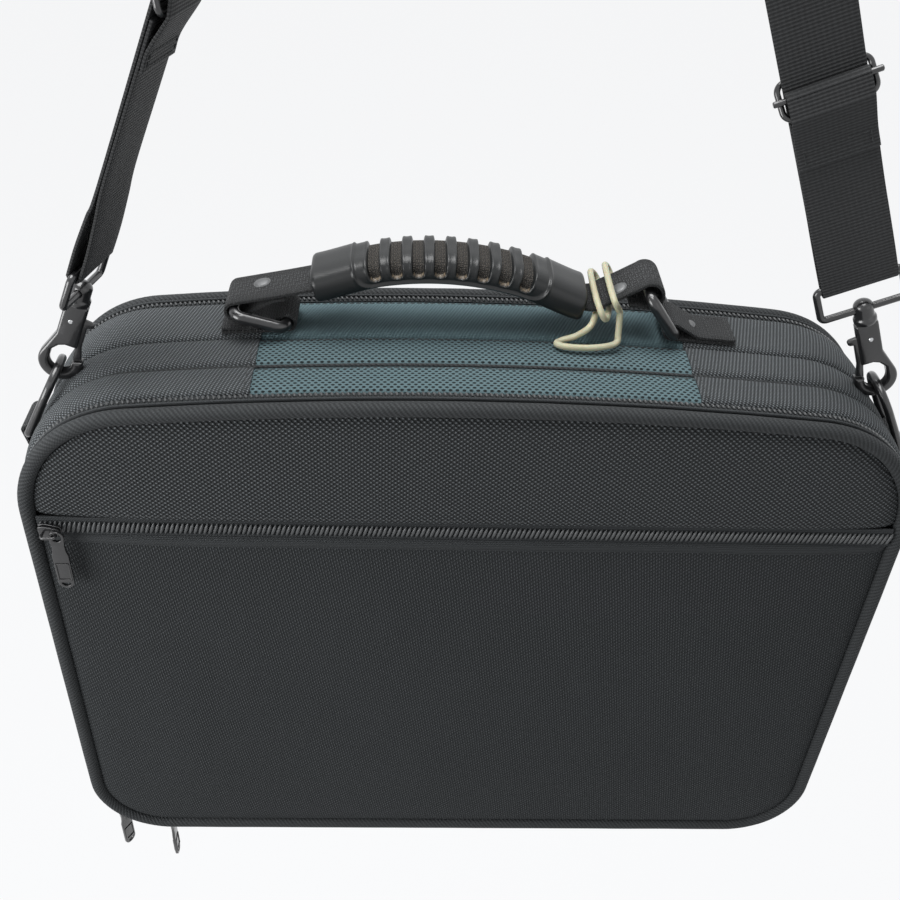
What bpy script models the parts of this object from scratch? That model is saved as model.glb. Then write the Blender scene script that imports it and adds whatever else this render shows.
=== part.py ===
"""Soft-sided laptop briefcase with a moulded top handle, hanging by its clip-on shoulder strap.

Sizes are in metres. The pieces are modelled in the bag's own frame: x across the bag, y from the
front panel to the rear, z up from the base. An empty then lowers them, so that the world origin is
the point where the strap hangs.
"""
from math import acos, asin, atan2, cos, hypot, pi, radians, sin, sqrt

import bmesh
import bpy
from mathutils import Matrix, Vector

# Bag body
BAG_WIDTH = 0.410
BAG_HEIGHT = 0.310
TOP_CORNER = 0.058
BASE_CORNER = 0.042
TOP_CROWN = 0.007
WALL = 0.003
FRONT_STRIP = 0.0197
MIDDLE_STRIP = 0.0209
REAR_STRIP = 0.0317
MESH_PANEL_WIDTH = 0.197
DIVIDER = 0.002
RIDGE_RADIUS = 0.0016
RIDGE_PROUD = 0.001
PIPING_RADIUS = 0.0035
COIL_RADIUS = 0.0017
TAPE_WIDTH = 0.0016
TAPE_DEPTH = 0.0025
PANEL = 0.0025
PANEL_CROWN = 0.0018
PANEL_EDGE = 0.0150
LINING = 0.0013
CLEAR = 0.0003

# Front pocket zip
POCKET_ZIP_DROP = 0.0715
POCKET_TAPE = 0.0110
POCKET_TAPE_THICK = 0.0010
POCKET_COIL = 0.0052
POCKET_COIL_PROUD = 0.0012
POCKET_SLIDER_INSET = 0.0140

# Zip sliders and their pulls
SLIDER_LENGTH = 0.0100
SLIDER_WIDTH = 0.0072
SLIDER_THICK = 0.0030
BAIL_WIRE = 0.0014
BAIL_SPAN = 0.0062
BAIL_RISE = 0.0036
PULL_LENGTH = 0.0350
PULL_WIDTH = 0.0074
PULL_THICK = 0.0016
PULL_EYE = 0.0048
PULL_EYE_RIM = 0.0011
PULL_END_HOLE = 0.0022
PULL_RECESS = 0.0004
FRONT_SLIDER_ANGLES = (228.0, 266.0)
FRONT_PULL_TWISTS = (32.0, 0.0)
REAR_SLIDER_Z = 0.100

# Side rings on the gusset
SIDE_WEB = 0.0200
SIDE_WEB_THICK = 0.0016
SIDE_TAB_LENGTH = 0.034
SIDE_WIRE = 0.0040
SIDE_RING_HEIGHT = 0.0365
SIDE_RING_DROP = 0.0455
SIDE_RING_LEAN = 28.0

# Swivel snap hooks
EYE_RADIUS = 0.0052
EYE_SLACK = 0.0009
HOOK_ROD = 0.0046
HOOK_THICK = 0.0054
HOOK_EDGE = 0.0011
HOOK_TIP_ANGLE = 20.0
SHANK_WIDTH = 0.0104
SHANK_TOP = 0.0343
SHANK_FOOT = 0.0120
STEM_RADIUS = 0.0022
STEM_LENGTH = 0.0030
TRIGGER_THICK = 0.0023
TRIGGER_SLOT_FLOOR = 0.0026
TRIGGER_PIVOT = (-0.0005, 0.0255)
PIN_RADIUS = 0.0011
SPRING_THICK = 0.0005
HEAD_RADIUS = 0.0052
HEAD_WAIST = 0.0044
HEAD_LENGTH = 0.0118
HEAD_EYE = 0.0072

# Shoulder strap
HANG_HEIGHT = 0.700
HANG_RADIUS = 0.030
STRAP_WIDTH = 0.033
STRAP_THICK = 0.0014
LOOP_WIRE = 0.0034
LOOP_HEIGHT = 0.0155
LOOP_SIDE_GAP = 0.0006
LAYER_GAP = 0.0003
SPREAD_LENGTH = 0.044
LEFT_STRAP_TURN = 12.0
TWIST_START = 0.225
TWIST_END = 0.420
LEFT_ADJUSTER = 0.182
RIGHT_ADJUSTER = 0.149
ADJUSTER_WIRE = 0.0026
ADJUSTER_HALF_HEIGHT = 0.0072
ADJUSTER_TILT = 30.0
ADJUSTER_BAR_OVERHANG = 0.0018
TAIL_LENGTH = 0.030

# Top handle
HANDLE_Y = 0.0665
LEFT_TAB_X = 0.0865
RIGHT_TAB_X = 0.0930
HANDLE_TAB_WIDTH = 0.0210
HANDLE_TAB_THICK = 0.0016
HANDLE_TAB_TAIL = 0.030
HANDLE_WEB = 0.0235
HANDLE_WEB_THICK = 0.0018
HANDLE_WIRE = 0.0055
HANDLE_RING_LENGTH = 0.0240
HANDLE_RING_WIDTH = 0.0300
HANDLE_RING_CORNER = 0.0045
LEFT_RING_ANGLE = 165.0
RIGHT_RING_ANGLE = 125.0
RING_SLACK = 0.00035
LOOSE_LOOP_SLACK = 0.0023
GRIP_LENGTH = 0.1230
GRIP_OFFSET = -0.0120
GRIP_RISE = 0.0320
GRIP_LEFT_RISE = 0.0210
GRIP_RIGHT_RISE = 0.0145
GRIP_WIDTH = 0.0290
GRIP_HEIGHT = 0.0155
CORE_WIDTH = 0.0240
CORE_HEIGHT = 0.0105
CORE_RAMP = 0.0060
SLOTS = 8
SLOT_PITCH = 0.0096
SLOT_WIDTH = 0.0044
SLOT_DEPTH_BELOW_AXIS = 0.0010

# Tag loop
TAG_RADIUS = 0.0015
TAG_WRAPS = (0.0635, 0.0575)
TAG_SLACK = 0.0018
TAG_REACH = 0.0200

# Depths from the front piping's centre to the rear one's
FLAP_TAPE_Y = PIPING_RADIUS + CLEAR
COIL_Y = FLAP_TAPE_Y + TAPE_WIDTH + CLEAR + COIL_RADIUS
FRONT_Y = COIL_Y + COIL_RADIUS + CLEAR
RIDGE_Y = FRONT_Y + FRONT_STRIP + CLEAR + RIDGE_RADIUS
MIDDLE_Y = RIDGE_Y + RIDGE_RADIUS + CLEAR
REAR_Y = MIDDLE_Y + MIDDLE_STRIP + CLEAR
REAR_COIL_Y = REAR_Y + REAR_STRIP + CLEAR + COIL_RADIUS
REAR_TAPE_Y = REAR_COIL_Y + COIL_RADIUS + CLEAR
REAR_PIPING_Y = REAR_TAPE_Y + TAPE_WIDTH + CLEAR + PIPING_RADIUS
STRAP_Y = MIDDLE_Y + MIDDLE_STRIP / 2

# Arcs of the side outline
HALF = BAG_WIDTH / 2
POCKET_SLIDER_X = POCKET_SLIDER_INSET - HALF
CORNER_X = HALF - TOP_CORNER
CROWN_RADIUS = (CORNER_X ** 2 + TOP_CROWN ** 2) / (2 * TOP_CROWN)
CROWN_Z = BAG_HEIGHT - CROWN_RADIUS
CROWN_ANGLE = asin(CORNER_X / (CROWN_RADIUS - TOP_CORNER))
CORNER_Z = CROWN_Z + (CROWN_RADIUS - TOP_CORNER) * cos(CROWN_ANGLE)
POCKET_Z = BAG_HEIGHT - POCKET_ZIP_DROP
MESH_HALF = MESH_PANEL_WIDTH / 2

# Places along one strap leg, measured up from the side ring's top
RING_LEAN = radians(SIDE_RING_LEAN)
RING_BAR_Z = BAG_HEIGHT - SIDE_RING_DROP
RING_BAR_OFF = TOP_CORNER + 2 * CLEAR + SIDE_WEB_THICK + SIDE_WIRE / 2
RING_BAR_ANGLE = asin(max(0.0, RING_BAR_Z - CORNER_Z) / RING_BAR_OFF)
RING_BAR_X = CORNER_X + RING_BAR_OFF * cos(RING_BAR_ANGLE)
RING_TOP_X = RING_BAR_X - SIDE_RING_HEIGHT * sin(RING_LEAN)
RING_TOP_Z = RING_BAR_Z + SIDE_RING_HEIGHT * cos(RING_LEAN)
HANG_CENTRE_Z = HANG_HEIGHT - HANG_RADIUS
HANG_REACH = hypot(RING_TOP_X, HANG_CENTRE_Z - RING_TOP_Z)
LEG_ANGLE = atan2(RING_TOP_X, HANG_CENTRE_Z - RING_TOP_Z) - asin(HANG_RADIUS / HANG_REACH)
LEG_LENGTH = sqrt(HANG_REACH ** 2 - HANG_RADIUS ** 2)
EYE_CENTRE = EYE_RADIUS - SIDE_WIRE / 2 - EYE_SLACK
HEAD_BASE = SHANK_TOP + CLEAR
LOOP_LOW = HEAD_BASE + HEAD_EYE
LOOP_HIGH = LOOP_LOW + LOOP_HEIGHT

# Handle pivots in the x and z plane
TAB_WRAP = HANDLE_WIRE / 2 + RING_SLACK + HANDLE_TAB_THICK / 2


def crown_height(x, inset=0.0):
    """Height of the outline's crowned top edge at x."""
    return CROWN_Z + sqrt((CROWN_RADIUS - inset) ** 2 - x ** 2)


def side_reach(z, off):
    """Distance of the outline's side from the middle at a height, moved out by off."""
    if z <= CORNER_Z:
        return HALF + off
    return CORNER_X + sqrt((TOP_CORNER + off) ** 2 - (z - CORNER_Z) ** 2)


def ring_pivot(x):
    """Middle of a handle ring's bar in the tab at x."""
    return Vector((x, HANDLE_Y, crown_height(x) + CLEAR + HANDLE_TAB_THICK / 2 + TAB_WRAP))


LEFT_PIVOT = ring_pivot(-LEFT_TAB_X)
RIGHT_PIVOT = ring_pivot(RIGHT_TAB_X)


def polar(centre, radius, angle):
    """Point at an angle in degrees from +x towards +z, in a plane across the bag."""
    x, y, z = centre
    return Vector((x + radius * cos(radians(angle)), y, z + radius * sin(radians(angle))))


LEFT_EYE = polar(LEFT_PIVOT, HANDLE_RING_LENGTH, LEFT_RING_ANGLE)
RIGHT_EYE = polar(RIGHT_PIVOT, HANDLE_RING_LENGTH, RIGHT_RING_ANGLE)

# Planes that a flat outline is drawn in: columns are its two axes and the way it is extruded
ACROSS = Matrix(((1, 0, 0, 0), (0, 0, 1, 0), (0, 1, 0, 0), (0, 0, 0, 1)))
ALONG = Matrix(((0, 0, 1, 0), (1, 0, 0, 0), (0, 1, 0, 0), (0, 0, 0, 1)))


def start_scene():
    """Empty the scene and make the parts' collection and the empty that everything hangs on."""
    for old in list(bpy.data.objects):
        bpy.data.objects.remove(old)
    parts = bpy.data.collections.new("laptop_briefcase")
    bpy.context.scene.collection.children.link(parts)
    hang = bpy.data.objects.new("hang_point", None)
    hang.location = (0.0, -STRAP_Y, -HANG_HEIGHT)
    parts.objects.link(hang)
    return parts, hang


PARTS, HANG = start_scene()


def finish(name, colour, roughness, metallic=0.0):
    """A plain Principled material."""
    material = bpy.data.materials.new(name)
    material.use_nodes = True
    shader = material.node_tree.nodes["Principled BSDF"]
    shader.inputs["Base Color"].default_value = (*colour, 1.0)
    shader.inputs["Roughness"].default_value = roughness
    shader.inputs["Metallic"].default_value = metallic
    material.diffuse_color = (*colour, 1.0)
    return material


BALLISTIC = finish("ballistic_nylon", (0.035, 0.036, 0.038), 0.75)
TWILL = finish("twill_piping", (0.045, 0.046, 0.048), 0.8)
MESH = finish("teal_mesh", (0.13, 0.19, 0.21), 0.8)
WEBBING = finish("black_webbing", (0.03, 0.03, 0.031), 0.8)
COIL = finish("nylon_coil", (0.05, 0.05, 0.052), 0.5)
RUBBER = finish("moulded_rubber", (0.022, 0.022, 0.024), 0.45)
BLACK_METAL = finish("black_metal", (0.03, 0.03, 0.032), 0.35, 0.6)
STEEL = finish("bright_steel", (0.6, 0.6, 0.6), 0.3, 1.0)
LINER = finish("lining_cloth", (0.04, 0.04, 0.042), 0.9)
TAG = finish("tag_plastic", (0.72, 0.71, 0.60), 0.45)


def tidy(mesh):
    """Weld a mesh's seams and point its faces out."""
    work = bmesh.new()
    work.from_mesh(mesh)
    bmesh.ops.remove_doubles(work, verts=work.verts, dist=0.000002)
    bmesh.ops.recalc_face_normals(work, faces=work.faces)
    work.to_mesh(mesh)
    work.free()
    return mesh


def flat_faced(mesh):
    """Split each face that isn't flat into triangles."""
    work = bmesh.new()
    work.from_mesh(mesh)
    bent = []
    for face in work.faces:
        middle = face.calc_center_median()
        if any(abs((vert.co - middle).dot(face.normal)) > 0.0000005 for vert in face.verts):
            bent.append(face)
    bmesh.ops.triangulate(work, faces=bent)
    work.to_mesh(mesh)
    work.free()
    return mesh


def evaluated(obj):
    """Mesh of an object with its modifiers, in place of the object."""
    depsgraph = bpy.context.evaluated_depsgraph_get()
    mesh = bpy.data.meshes.new_from_object(obj.evaluated_get(depsgraph))
    bpy.data.objects.remove(obj)
    return mesh


def holder(data):
    """A working object that is read and then removed."""
    obj = bpy.data.objects.new("working", data)
    bpy.context.scene.collection.objects.link(obj)
    return obj


def part(name, mesh, material, pivot=(0.0, 0.0, 0.0), smooth=None):
    """Make a mesh a named piece whose origin is its pivot."""
    flat_faced(tidy(mesh))
    mesh.name = name
    mesh.transform(Matrix.Translation(-Vector(pivot)))
    mesh.materials.clear()
    mesh.materials.append(material)
    if smooth:
        mesh.shade_smooth()
        mesh.set_sharp_from_angle(angle=radians(smooth))
    obj = bpy.data.objects.new(name, mesh)
    obj.location = pivot
    obj.parent = HANG
    PARTS.objects.link(obj)
    return obj


def plate(loops, start, end, plane=ACROSS):
    """Flat outlines filled and extruded from start to end along the plane's third axis."""
    curve = bpy.data.curves.new("outline", "CURVE")
    curve.dimensions = "2D"
    curve.fill_mode = "BOTH"
    curve.extrude = (end - start) / 2
    for loop in loops:
        spline = curve.splines.new("POLY")
        spline.points.add(len(loop) - 1)
        for point, (u, v) in zip(spline.points, loop):
            point.co = (u, v, 0.0, 1.0)
        spline.use_cyclic_u = True
    mesh = evaluated(holder(curve))
    mesh.transform(plane @ Matrix.Translation((0.0, 0.0, (start + end) / 2)))
    return tidy(mesh)


def tube(points, radius, closed=False, resolution=2):
    """Round wire or cord along points."""
    curve = bpy.data.curves.new("wire", "CURVE")
    curve.dimensions = "3D"
    curve.bevel_depth = radius
    curve.bevel_resolution = resolution
    curve.use_fill_caps = not closed
    spline = curve.splines.new("POLY")
    spline.points.add(len(points) - 1)
    for point, place in zip(spline.points, points):
        point.co = (*place, 1.0)
    spline.use_cyclic_u = closed
    return tidy(evaluated(holder(curve)))


def loft(sections):
    """Closed solid through like sections, capped at both ends."""
    work = bmesh.new()
    rings = []
    for section in sections:
        rings.append([work.verts.new(point) for point in section])
    for near, far in zip(rings, rings[1:]):
        for i in range(len(near)):
            j = (i + 1) % len(near)
            work.faces.new((near[i], near[j], far[j], far[i]))
    work.faces.new(rings[0])
    work.faces.new(rings[-1])
    mesh = bpy.data.meshes.new("loft")
    work.to_mesh(mesh)
    work.free()
    return tidy(mesh)


def box(low, high, edge=0.0, frame=Matrix()):
    """Box between two corners, its edges rounded, in a frame."""
    work = bmesh.new()
    size = Vector(high) - Vector(low)
    middle = (Vector(high) + Vector(low)) / 2
    bmesh.ops.create_cube(work, size=1.0)
    bmesh.ops.scale(work, vec=size, verts=work.verts)
    bmesh.ops.translate(work, vec=middle, verts=work.verts)
    if edge:
        bmesh.ops.bevel(work, geom=work.edges[:], offset=edge, segments=2, affect="EDGES")
    mesh = bpy.data.meshes.new("box")
    work.to_mesh(mesh)
    work.free()
    mesh.transform(frame)
    return tidy(mesh)


def rod(start, end, radius, sides=16):
    """Cylinder between two points."""
    start = Vector(start)
    end = Vector(end)
    way = end - start
    turn = way.to_track_quat("Z", "Y").to_matrix().to_4x4()
    work = bmesh.new()
    bmesh.ops.create_cone(work, cap_ends=True, segments=sides, radius1=radius, radius2=radius,
                          depth=way.length)
    mesh = bpy.data.meshes.new("rod")
    work.to_mesh(mesh)
    work.free()
    mesh.transform(Matrix.Translation((start + end) / 2) @ turn)
    return tidy(mesh)


def turned(profile, frame, steps=20):
    """Profile of radius and height points turned about the frame's third axis."""
    work = bmesh.new()
    verts = [work.verts.new((radius, 0.0, height)) for radius, height in profile]
    for near, far in zip(verts, verts[1:]):
        work.edges.new((near, far))
    mesh = bpy.data.meshes.new("turned")
    work.to_mesh(mesh)
    work.free()
    obj = holder(mesh)
    screw = obj.modifiers.new("turn", "SCREW")
    screw.steps = steps
    screw.render_steps = steps
    screw.use_merge_vertices = True
    screw.merge_threshold = 0.00001
    mesh = evaluated(obj)
    mesh.transform(frame)
    return tidy(mesh)


def combine(mesh, others, operation="DIFFERENCE"):
    """Cut other meshes from a mesh, or join them to it."""
    obj = holder(mesh)
    tools = []
    for other in others:
        tool = holder(other)
        tool.hide_render = True
        tool.display_type = "WIRE"
        cut = obj.modifiers.new("cut", "BOOLEAN")
        cut.operation = operation
        cut.object = tool
        tools.append(tool)
    result = evaluated(obj)
    for tool in tools:
        bpy.data.objects.remove(tool)
    return tidy(result)


def eased(mesh, width, segments=1):
    """Round the sharp edges of a mesh."""
    work = bmesh.new()
    work.from_mesh(mesh)
    bmesh.ops.dissolve_limit(work, angle_limit=radians(1.0), verts=work.verts, edges=work.edges)
    sharp = [edge for edge in work.edges if edge.calc_face_angle(0.0) > radians(50)]
    bmesh.ops.bevel(work, geom=sharp, offset=width, segments=segments, affect="EDGES",
                    clamp_overlap=True)
    work.to_mesh(mesh)
    work.free()
    return tidy(mesh)


def arc(centre, radius, first, last, steps):
    """Points on an arc in a flat plane, angles in degrees."""
    points = []
    for i in range(steps + 1):
        angle = radians(first + (last - first) * i / steps)
        points.append((centre[0] + radius * cos(angle), centre[1] + radius * sin(angle)))
    return points


def crown_arc(inset, first, last, steps):
    """Points along the crowned top edge between two x values."""
    points = []
    for i in range(steps + 1):
        x = first + (last - first) * i / steps
        points.append((x, crown_height(x, inset)))
    return points


def outline(inset=0.0, gap=0.0):
    """The bag's outline, from x = gap on the top edge clockwise round to x = -gap."""
    radius = TOP_CORNER - inset
    base = BASE_CORNER - inset
    tilt = 90.0 - CROWN_ANGLE * 180.0 / pi
    end_x = CORNER_X + radius * sin(CROWN_ANGLE)
    low_x = HALF - BASE_CORNER
    points = crown_arc(inset, gap, end_x, 4)
    points += arc((CORNER_X, CORNER_Z), radius, tilt, 0.0, 7)[1:]
    points += arc((low_x, BASE_CORNER), base, 0.0, -90.0, 6)
    points += arc((-low_x, BASE_CORNER), base, -90.0, -180.0, 6)
    points += arc((-CORNER_X, CORNER_Z), radius, 180.0, 180.0 - tilt, 7)
    points += crown_arc(inset, -end_x, -gap, 4)[1:]
    if gap == 0.0:
        points.pop()
    return points


def band(outer, inner, start, end):
    """A strip that runs right round the bag."""
    return plate([outline(outer), outline(inner)], start, end)


def split_band(name, start, end):
    """A nylon strip round three sides and the mesh panel that closes it along the top."""
    strip = outline(0.0, MESH_HALF + CLEAR) + outline(WALL, MESH_HALF + CLEAR)[::-1]
    part(name + "_gusset", plate([strip], start, end), BALLISTIC)
    top = crown_arc(0.0, -MESH_HALF, MESH_HALF, 8) + crown_arc(WALL, MESH_HALF, -MESH_HALF, 8)
    part(name + "_mesh_panel", plate([top], start, end), MESH)


def cord_round(inset, y, radius, resolution=1):
    """A round cord that follows the outline."""
    return tube([(x, y, z) for x, z in outline(inset)], radius, True, resolution)


def gusset_parts():
    """The three strips of the gusset, the divider between the compartments and its piping."""
    split_band("front", FRONT_Y, FRONT_Y + FRONT_STRIP)
    split_band("middle", MIDDLE_Y, MIDDLE_Y + MIDDLE_STRIP)
    split_band("rear", REAR_Y, REAR_Y + REAR_STRIP)
    ridge_inset = RIDGE_RADIUS - RIDGE_PROUD
    part("divider_piping", cord_round(ridge_inset, RIDGE_Y, RIDGE_RADIUS), TWILL, smooth=60)
    edge = ridge_inset + RIDGE_RADIUS + CLEAR
    part("divider_panel", plate([outline(edge)], RIDGE_Y - DIVIDER / 2, RIDGE_Y + DIVIDER / 2), LINER)


def crowned_sheet(inset, y, way):
    """A panel's outer surface that swells towards its middle, as an open mesh."""
    work = bmesh.new()
    face = work.faces.new([work.verts.new((x, y, z)) for x, z in outline(inset)])
    work.normal_update()
    depth = PANEL_CROWN / 2 * (1 if face.normal.y * way > 0 else -1)
    step = min(PANEL_EDGE, (BASE_CORNER - inset) * 0.45)
    for _ in range(2):
        bmesh.ops.inset_region(work, faces=[face], thickness=step, depth=depth, use_even_offset=True,
                               use_boundary=True)
    mesh = bpy.data.meshes.new("sheet")
    work.to_mesh(mesh)
    work.free()
    return mesh


def trimmed(mesh, height, keep_above):
    """The part of an open sheet above or below a height."""
    work = bmesh.new()
    work.from_mesh(mesh)
    geometry = work.verts[:] + work.edges[:] + work.faces[:]
    bmesh.ops.bisect_plane(work, geom=geometry, plane_co=(0.0, 0.0, height), plane_no=(0.0, 0.0, 1.0),
                           clear_inner=keep_above, clear_outer=not keep_above)
    result = mesh.copy()
    work.to_mesh(result)
    work.free()
    return result


def thickened(mesh, way):
    """An open sheet given the panel's thickness on the side away from way."""
    work = bmesh.new()
    work.from_mesh(mesh)
    made = bmesh.ops.extrude_face_region(work, geom=work.faces[:])
    inner = [item for item in made["geom"] if isinstance(item, bmesh.types.BMVert)]
    bmesh.ops.translate(work, verts=inner, vec=(0.0, -way * PANEL, 0.0))
    work.to_mesh(mesh)
    work.free()
    return mesh


def front_flap_parts(pivot):
    """Front wall of the front compartment: two panels with the pocket zip, lining, tape and piping."""
    edge = 2 * PIPING_RADIUS + CLEAR
    sheet = crowned_sheet(edge, -PIPING_RADIUS + CLEAR, -1)
    half = POCKET_TAPE / 2 + CLEAR
    upper = thickened(trimmed(sheet, POCKET_Z + half, True), -1)
    lower = thickened(trimmed(sheet, POCKET_Z - half, False), -1)
    part("front_upper_panel", upper, BALLISTIC, pivot)
    part("front_pocket_panel", lower, BALLISTIC, pivot)
    part("front_piping", cord_round(PIPING_RADIUS, 0.0, PIPING_RADIUS, 2), TWILL, pivot, smooth=60)
    tape = band(CLEAR, TAPE_DEPTH, FLAP_TAPE_Y, FLAP_TAPE_Y + TAPE_WIDTH)
    part("front_flap_tape", tape, TWILL, pivot)
    back = FLAP_TAPE_Y + TAPE_WIDTH + CLEAR
    lining = plate([outline(2 * COIL_RADIUS + 2 * CLEAR)], back, back + LINING)
    part("front_pocket_lining", lining, LINER, pivot)
    part("front_pocket_zip", pocket_zip(edge), COIL, pivot)


def pocket_zip(edge):
    """Zip tape across the front panel with its row of teeth standing proud."""
    tape = POCKET_TAPE / 2
    coil = POCKET_COIL / 2
    face = pocket_zip_face()
    back = face + POCKET_TAPE_THICK
    hump = [(face - POCKET_COIL_PROUD * sin(pi * i / 6), POCKET_Z + coil * cos(pi * i / 6)) for i in range(7)]
    profile = [(face, POCKET_Z + tape)] + hump + [(face, POCKET_Z - tape)]
    profile += [(back, POCKET_Z - tape), (back, POCKET_Z + tape)]
    reach = HALF - edge - 2 * CLEAR
    return plate([profile], -reach, reach, ALONG)


def pocket_zip_face():
    """Depth of the pocket zip's tape, level with the panel's edge."""
    return -PIPING_RADIUS + CLEAR


def rear_flap_parts(pivot):
    """Rear wall: a plain panel with its tape and piping."""
    edge = 2 * PIPING_RADIUS + CLEAR
    sheet = crowned_sheet(edge, REAR_PIPING_Y + PIPING_RADIUS - CLEAR, 1)
    part("rear_panel", thickened(sheet, 1), BALLISTIC, pivot)
    part("rear_piping", cord_round(PIPING_RADIUS, REAR_PIPING_Y, PIPING_RADIUS, 2), TWILL, pivot, smooth=60)
    tape = band(CLEAR, TAPE_DEPTH, REAR_TAPE_Y, REAR_TAPE_Y + TAPE_WIDTH)
    part("rear_flap_tape", tape, TWILL, pivot)


def zip_coils():
    """Rows of teeth that close the two compartments."""
    part("front_zip_coil", cord_round(COIL_RADIUS, COIL_Y, COIL_RADIUS), COIL, smooth=60)
    part("rear_zip_coil", cord_round(COIL_RADIUS, REAR_COIL_Y, COIL_RADIUS), COIL, smooth=60)


def frame_at(origin, first, second, third):
    """A frame from its origin and three axes."""
    rows = [[first[i], second[i], third[i], origin[i]] for i in range(3)]
    return Matrix(rows + [[0.0, 0.0, 0.0, 1.0]])


def bail_points():
    """Staple over a slider, in run, across and out of the tape."""
    half = BAIL_SPAN / 2
    foot = CLEAR + SLIDER_THICK - BAIL_WIRE / 2
    top = bail_height()
    bend = BAIL_WIRE
    points = [(-half, 0.0, foot), (-half, 0.0, top - bend), (-half + bend, 0.0, top)]
    points += [(half - bend, 0.0, top), (half, 0.0, top - bend), (half, 0.0, foot)]
    return points


def bail_height():
    """Height of the staple's bridge over the tape."""
    return CLEAR + SLIDER_THICK + BAIL_RISE


def zip_slider(name, frame, pivot):
    """Slider body with its staple, in a frame of run, across and out of the tape."""
    low = (-SLIDER_LENGTH / 2, -SLIDER_WIDTH / 2, CLEAR)
    high = (SLIDER_LENGTH / 2, SLIDER_WIDTH / 2, CLEAR + SLIDER_THICK)
    body = box(low, high, SLIDER_THICK / 4)
    bail = tube(bail_points(), BAIL_WIRE / 2, False, 1)
    mesh = combine(body, [bail], "UNION")
    mesh.transform(frame)
    part(name, mesh, BLACK_METAL, pivot, smooth=40)


def zip_pull(name, frame, pivot):
    """Pull tab with a round eye, a bare recessed panel and a slot at its end."""
    eye = PULL_EYE / 2
    rim = eye + PULL_EYE_RIM
    half = PULL_WIDTH / 2
    length = PULL_LENGTH - rim
    loop = arc((0.0, 0.0), rim, 35.0, 145.0, 6)
    loop += arc((0.0, half - length), half, 180.0, 360.0, 8)
    hole = arc((0.0, 0.0), eye, 0.0, 330.0, 11)
    slot_y = half - length - CLEAR
    slot = arc((0.0, slot_y), PULL_END_HOLE, 180.0, 360.0, 6)
    mesh = plate([loop, hole, slot], -PULL_THICK / 2, PULL_THICK / 2, Matrix())
    top = slot_y + PULL_END_HOLE
    inset = PULL_END_HOLE / 2
    recess = box((-half + inset, top, PULL_THICK / 2 - PULL_RECESS),
                 (half - inset, top + PULL_WIDTH, PULL_THICK))
    mesh = combine(mesh, [recess])
    mesh.transform(frame)
    part(name, mesh, BLACK_METAL, pivot)


def front_pocket_slider():
    """Slider of the pocket zip with its pull hanging from the staple's right post."""
    out = pocket_zip_face() - POCKET_COIL_PROUD
    frame = frame_at((POCKET_SLIDER_X, out, POCKET_Z), (1, 0, 0), (0, 0, 1), (0, -1, 0))
    zip_slider("pocket_zip_slider", frame, frame.translation)
    post = frame @ Vector((BAIL_SPAN / 2, 0.0, SLIDER_THICK + 2 * CLEAR + PULL_THICK / 2))
    hang = post - Vector((0.0, 0.0, (PULL_EYE - BAIL_WIRE) / 2 - CLEAR))
    zip_pull("pocket_zip_pull", frame_at(hang, (1, 0, 0), (0, 0, 1), (0, -1, 0)), post)


def front_zip_sliders():
    """Two sliders side by side at the lower left corner, their pulls hanging below the base."""
    centre = Vector((-HALF + BASE_CORNER, COIL_Y, BASE_CORNER))
    for letter, angle, twist in zip("ab", FRONT_SLIDER_ANGLES, FRONT_PULL_TWISTS):
        place = polar(centre, BASE_CORNER, angle)
        out = (place - centre).normalized()
        run = Vector((-out.z, 0.0, out.x))
        frame = frame_at(place, run, (0, 1, 0), out)
        zip_slider("front_zip_slider_" + letter, frame, centre)
        lean = max(0.0, min(1.0, (270.0 - angle) / 45.0))
        corner = (BAIL_SPAN / 2 - BAIL_WIRE / 2) * lean
        post = frame @ Vector((corner, 0.0, bail_height() - BAIL_WIRE / 2 * lean))
        hang = post - Vector((0.0, 0.0, (PULL_EYE - BAIL_WIRE) / 2 - CLEAR))
        turn = radians(90.0 - twist)
        side = (cos(turn), sin(turn), 0.0)
        normal = (sin(turn), -cos(turn), 0.0)
        zip_pull("front_zip_pull_" + letter, frame_at(hang, side, (0, 0, 1), normal), post)


def rear_zip_slider():
    """Slider of the rear zip on the right side, with its pull hanging down the gusset."""
    frame = frame_at((HALF, REAR_COIL_Y, REAR_SLIDER_Z), (0, 0, -1), (0, 1, 0), (1, 0, 0))
    zip_slider("rear_zip_slider", frame, frame.translation)
    post = frame @ Vector((BAIL_SPAN / 2, 0.0, SLIDER_THICK + 2 * CLEAR + PULL_THICK / 2))
    hang = post - Vector((0.0, 0.0, (PULL_EYE - BAIL_WIRE) / 2 - CLEAR))
    zip_pull("rear_zip_pull", frame_at(hang, (0, 1, 0), (0, 0, 1), (1, 0, 0)), post)


def ribbon(points, across, width, thickness):
    """Flat webbing through points, its width along the across vectors."""
    sections = []
    last = len(points) - 1
    for i, place in enumerate(points):
        way = (points[min(i + 1, last)] - points[max(i - 1, 0)]).normalized()
        side = across[i] * (width / 2)
        lift = way.cross(across[i]).normalized() * (thickness / 2)
        sections.append((place - side - lift, place + side - lift, place + side + lift, place - side + lift))
    return loft(sections)


def level_ribbon(points, width, thickness, y):
    """Webbing whose width lies along y, through x and z points."""
    places = [Vector((x, y, z)) for x, z in points]
    return ribbon(places, [Vector((0.0, 1.0, 0.0))] * len(places), width, thickness)


def mirrored(points, side):
    """Points of the right side, or their mirror on the left."""
    return [(side * x, z) for x, z in points]


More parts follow.
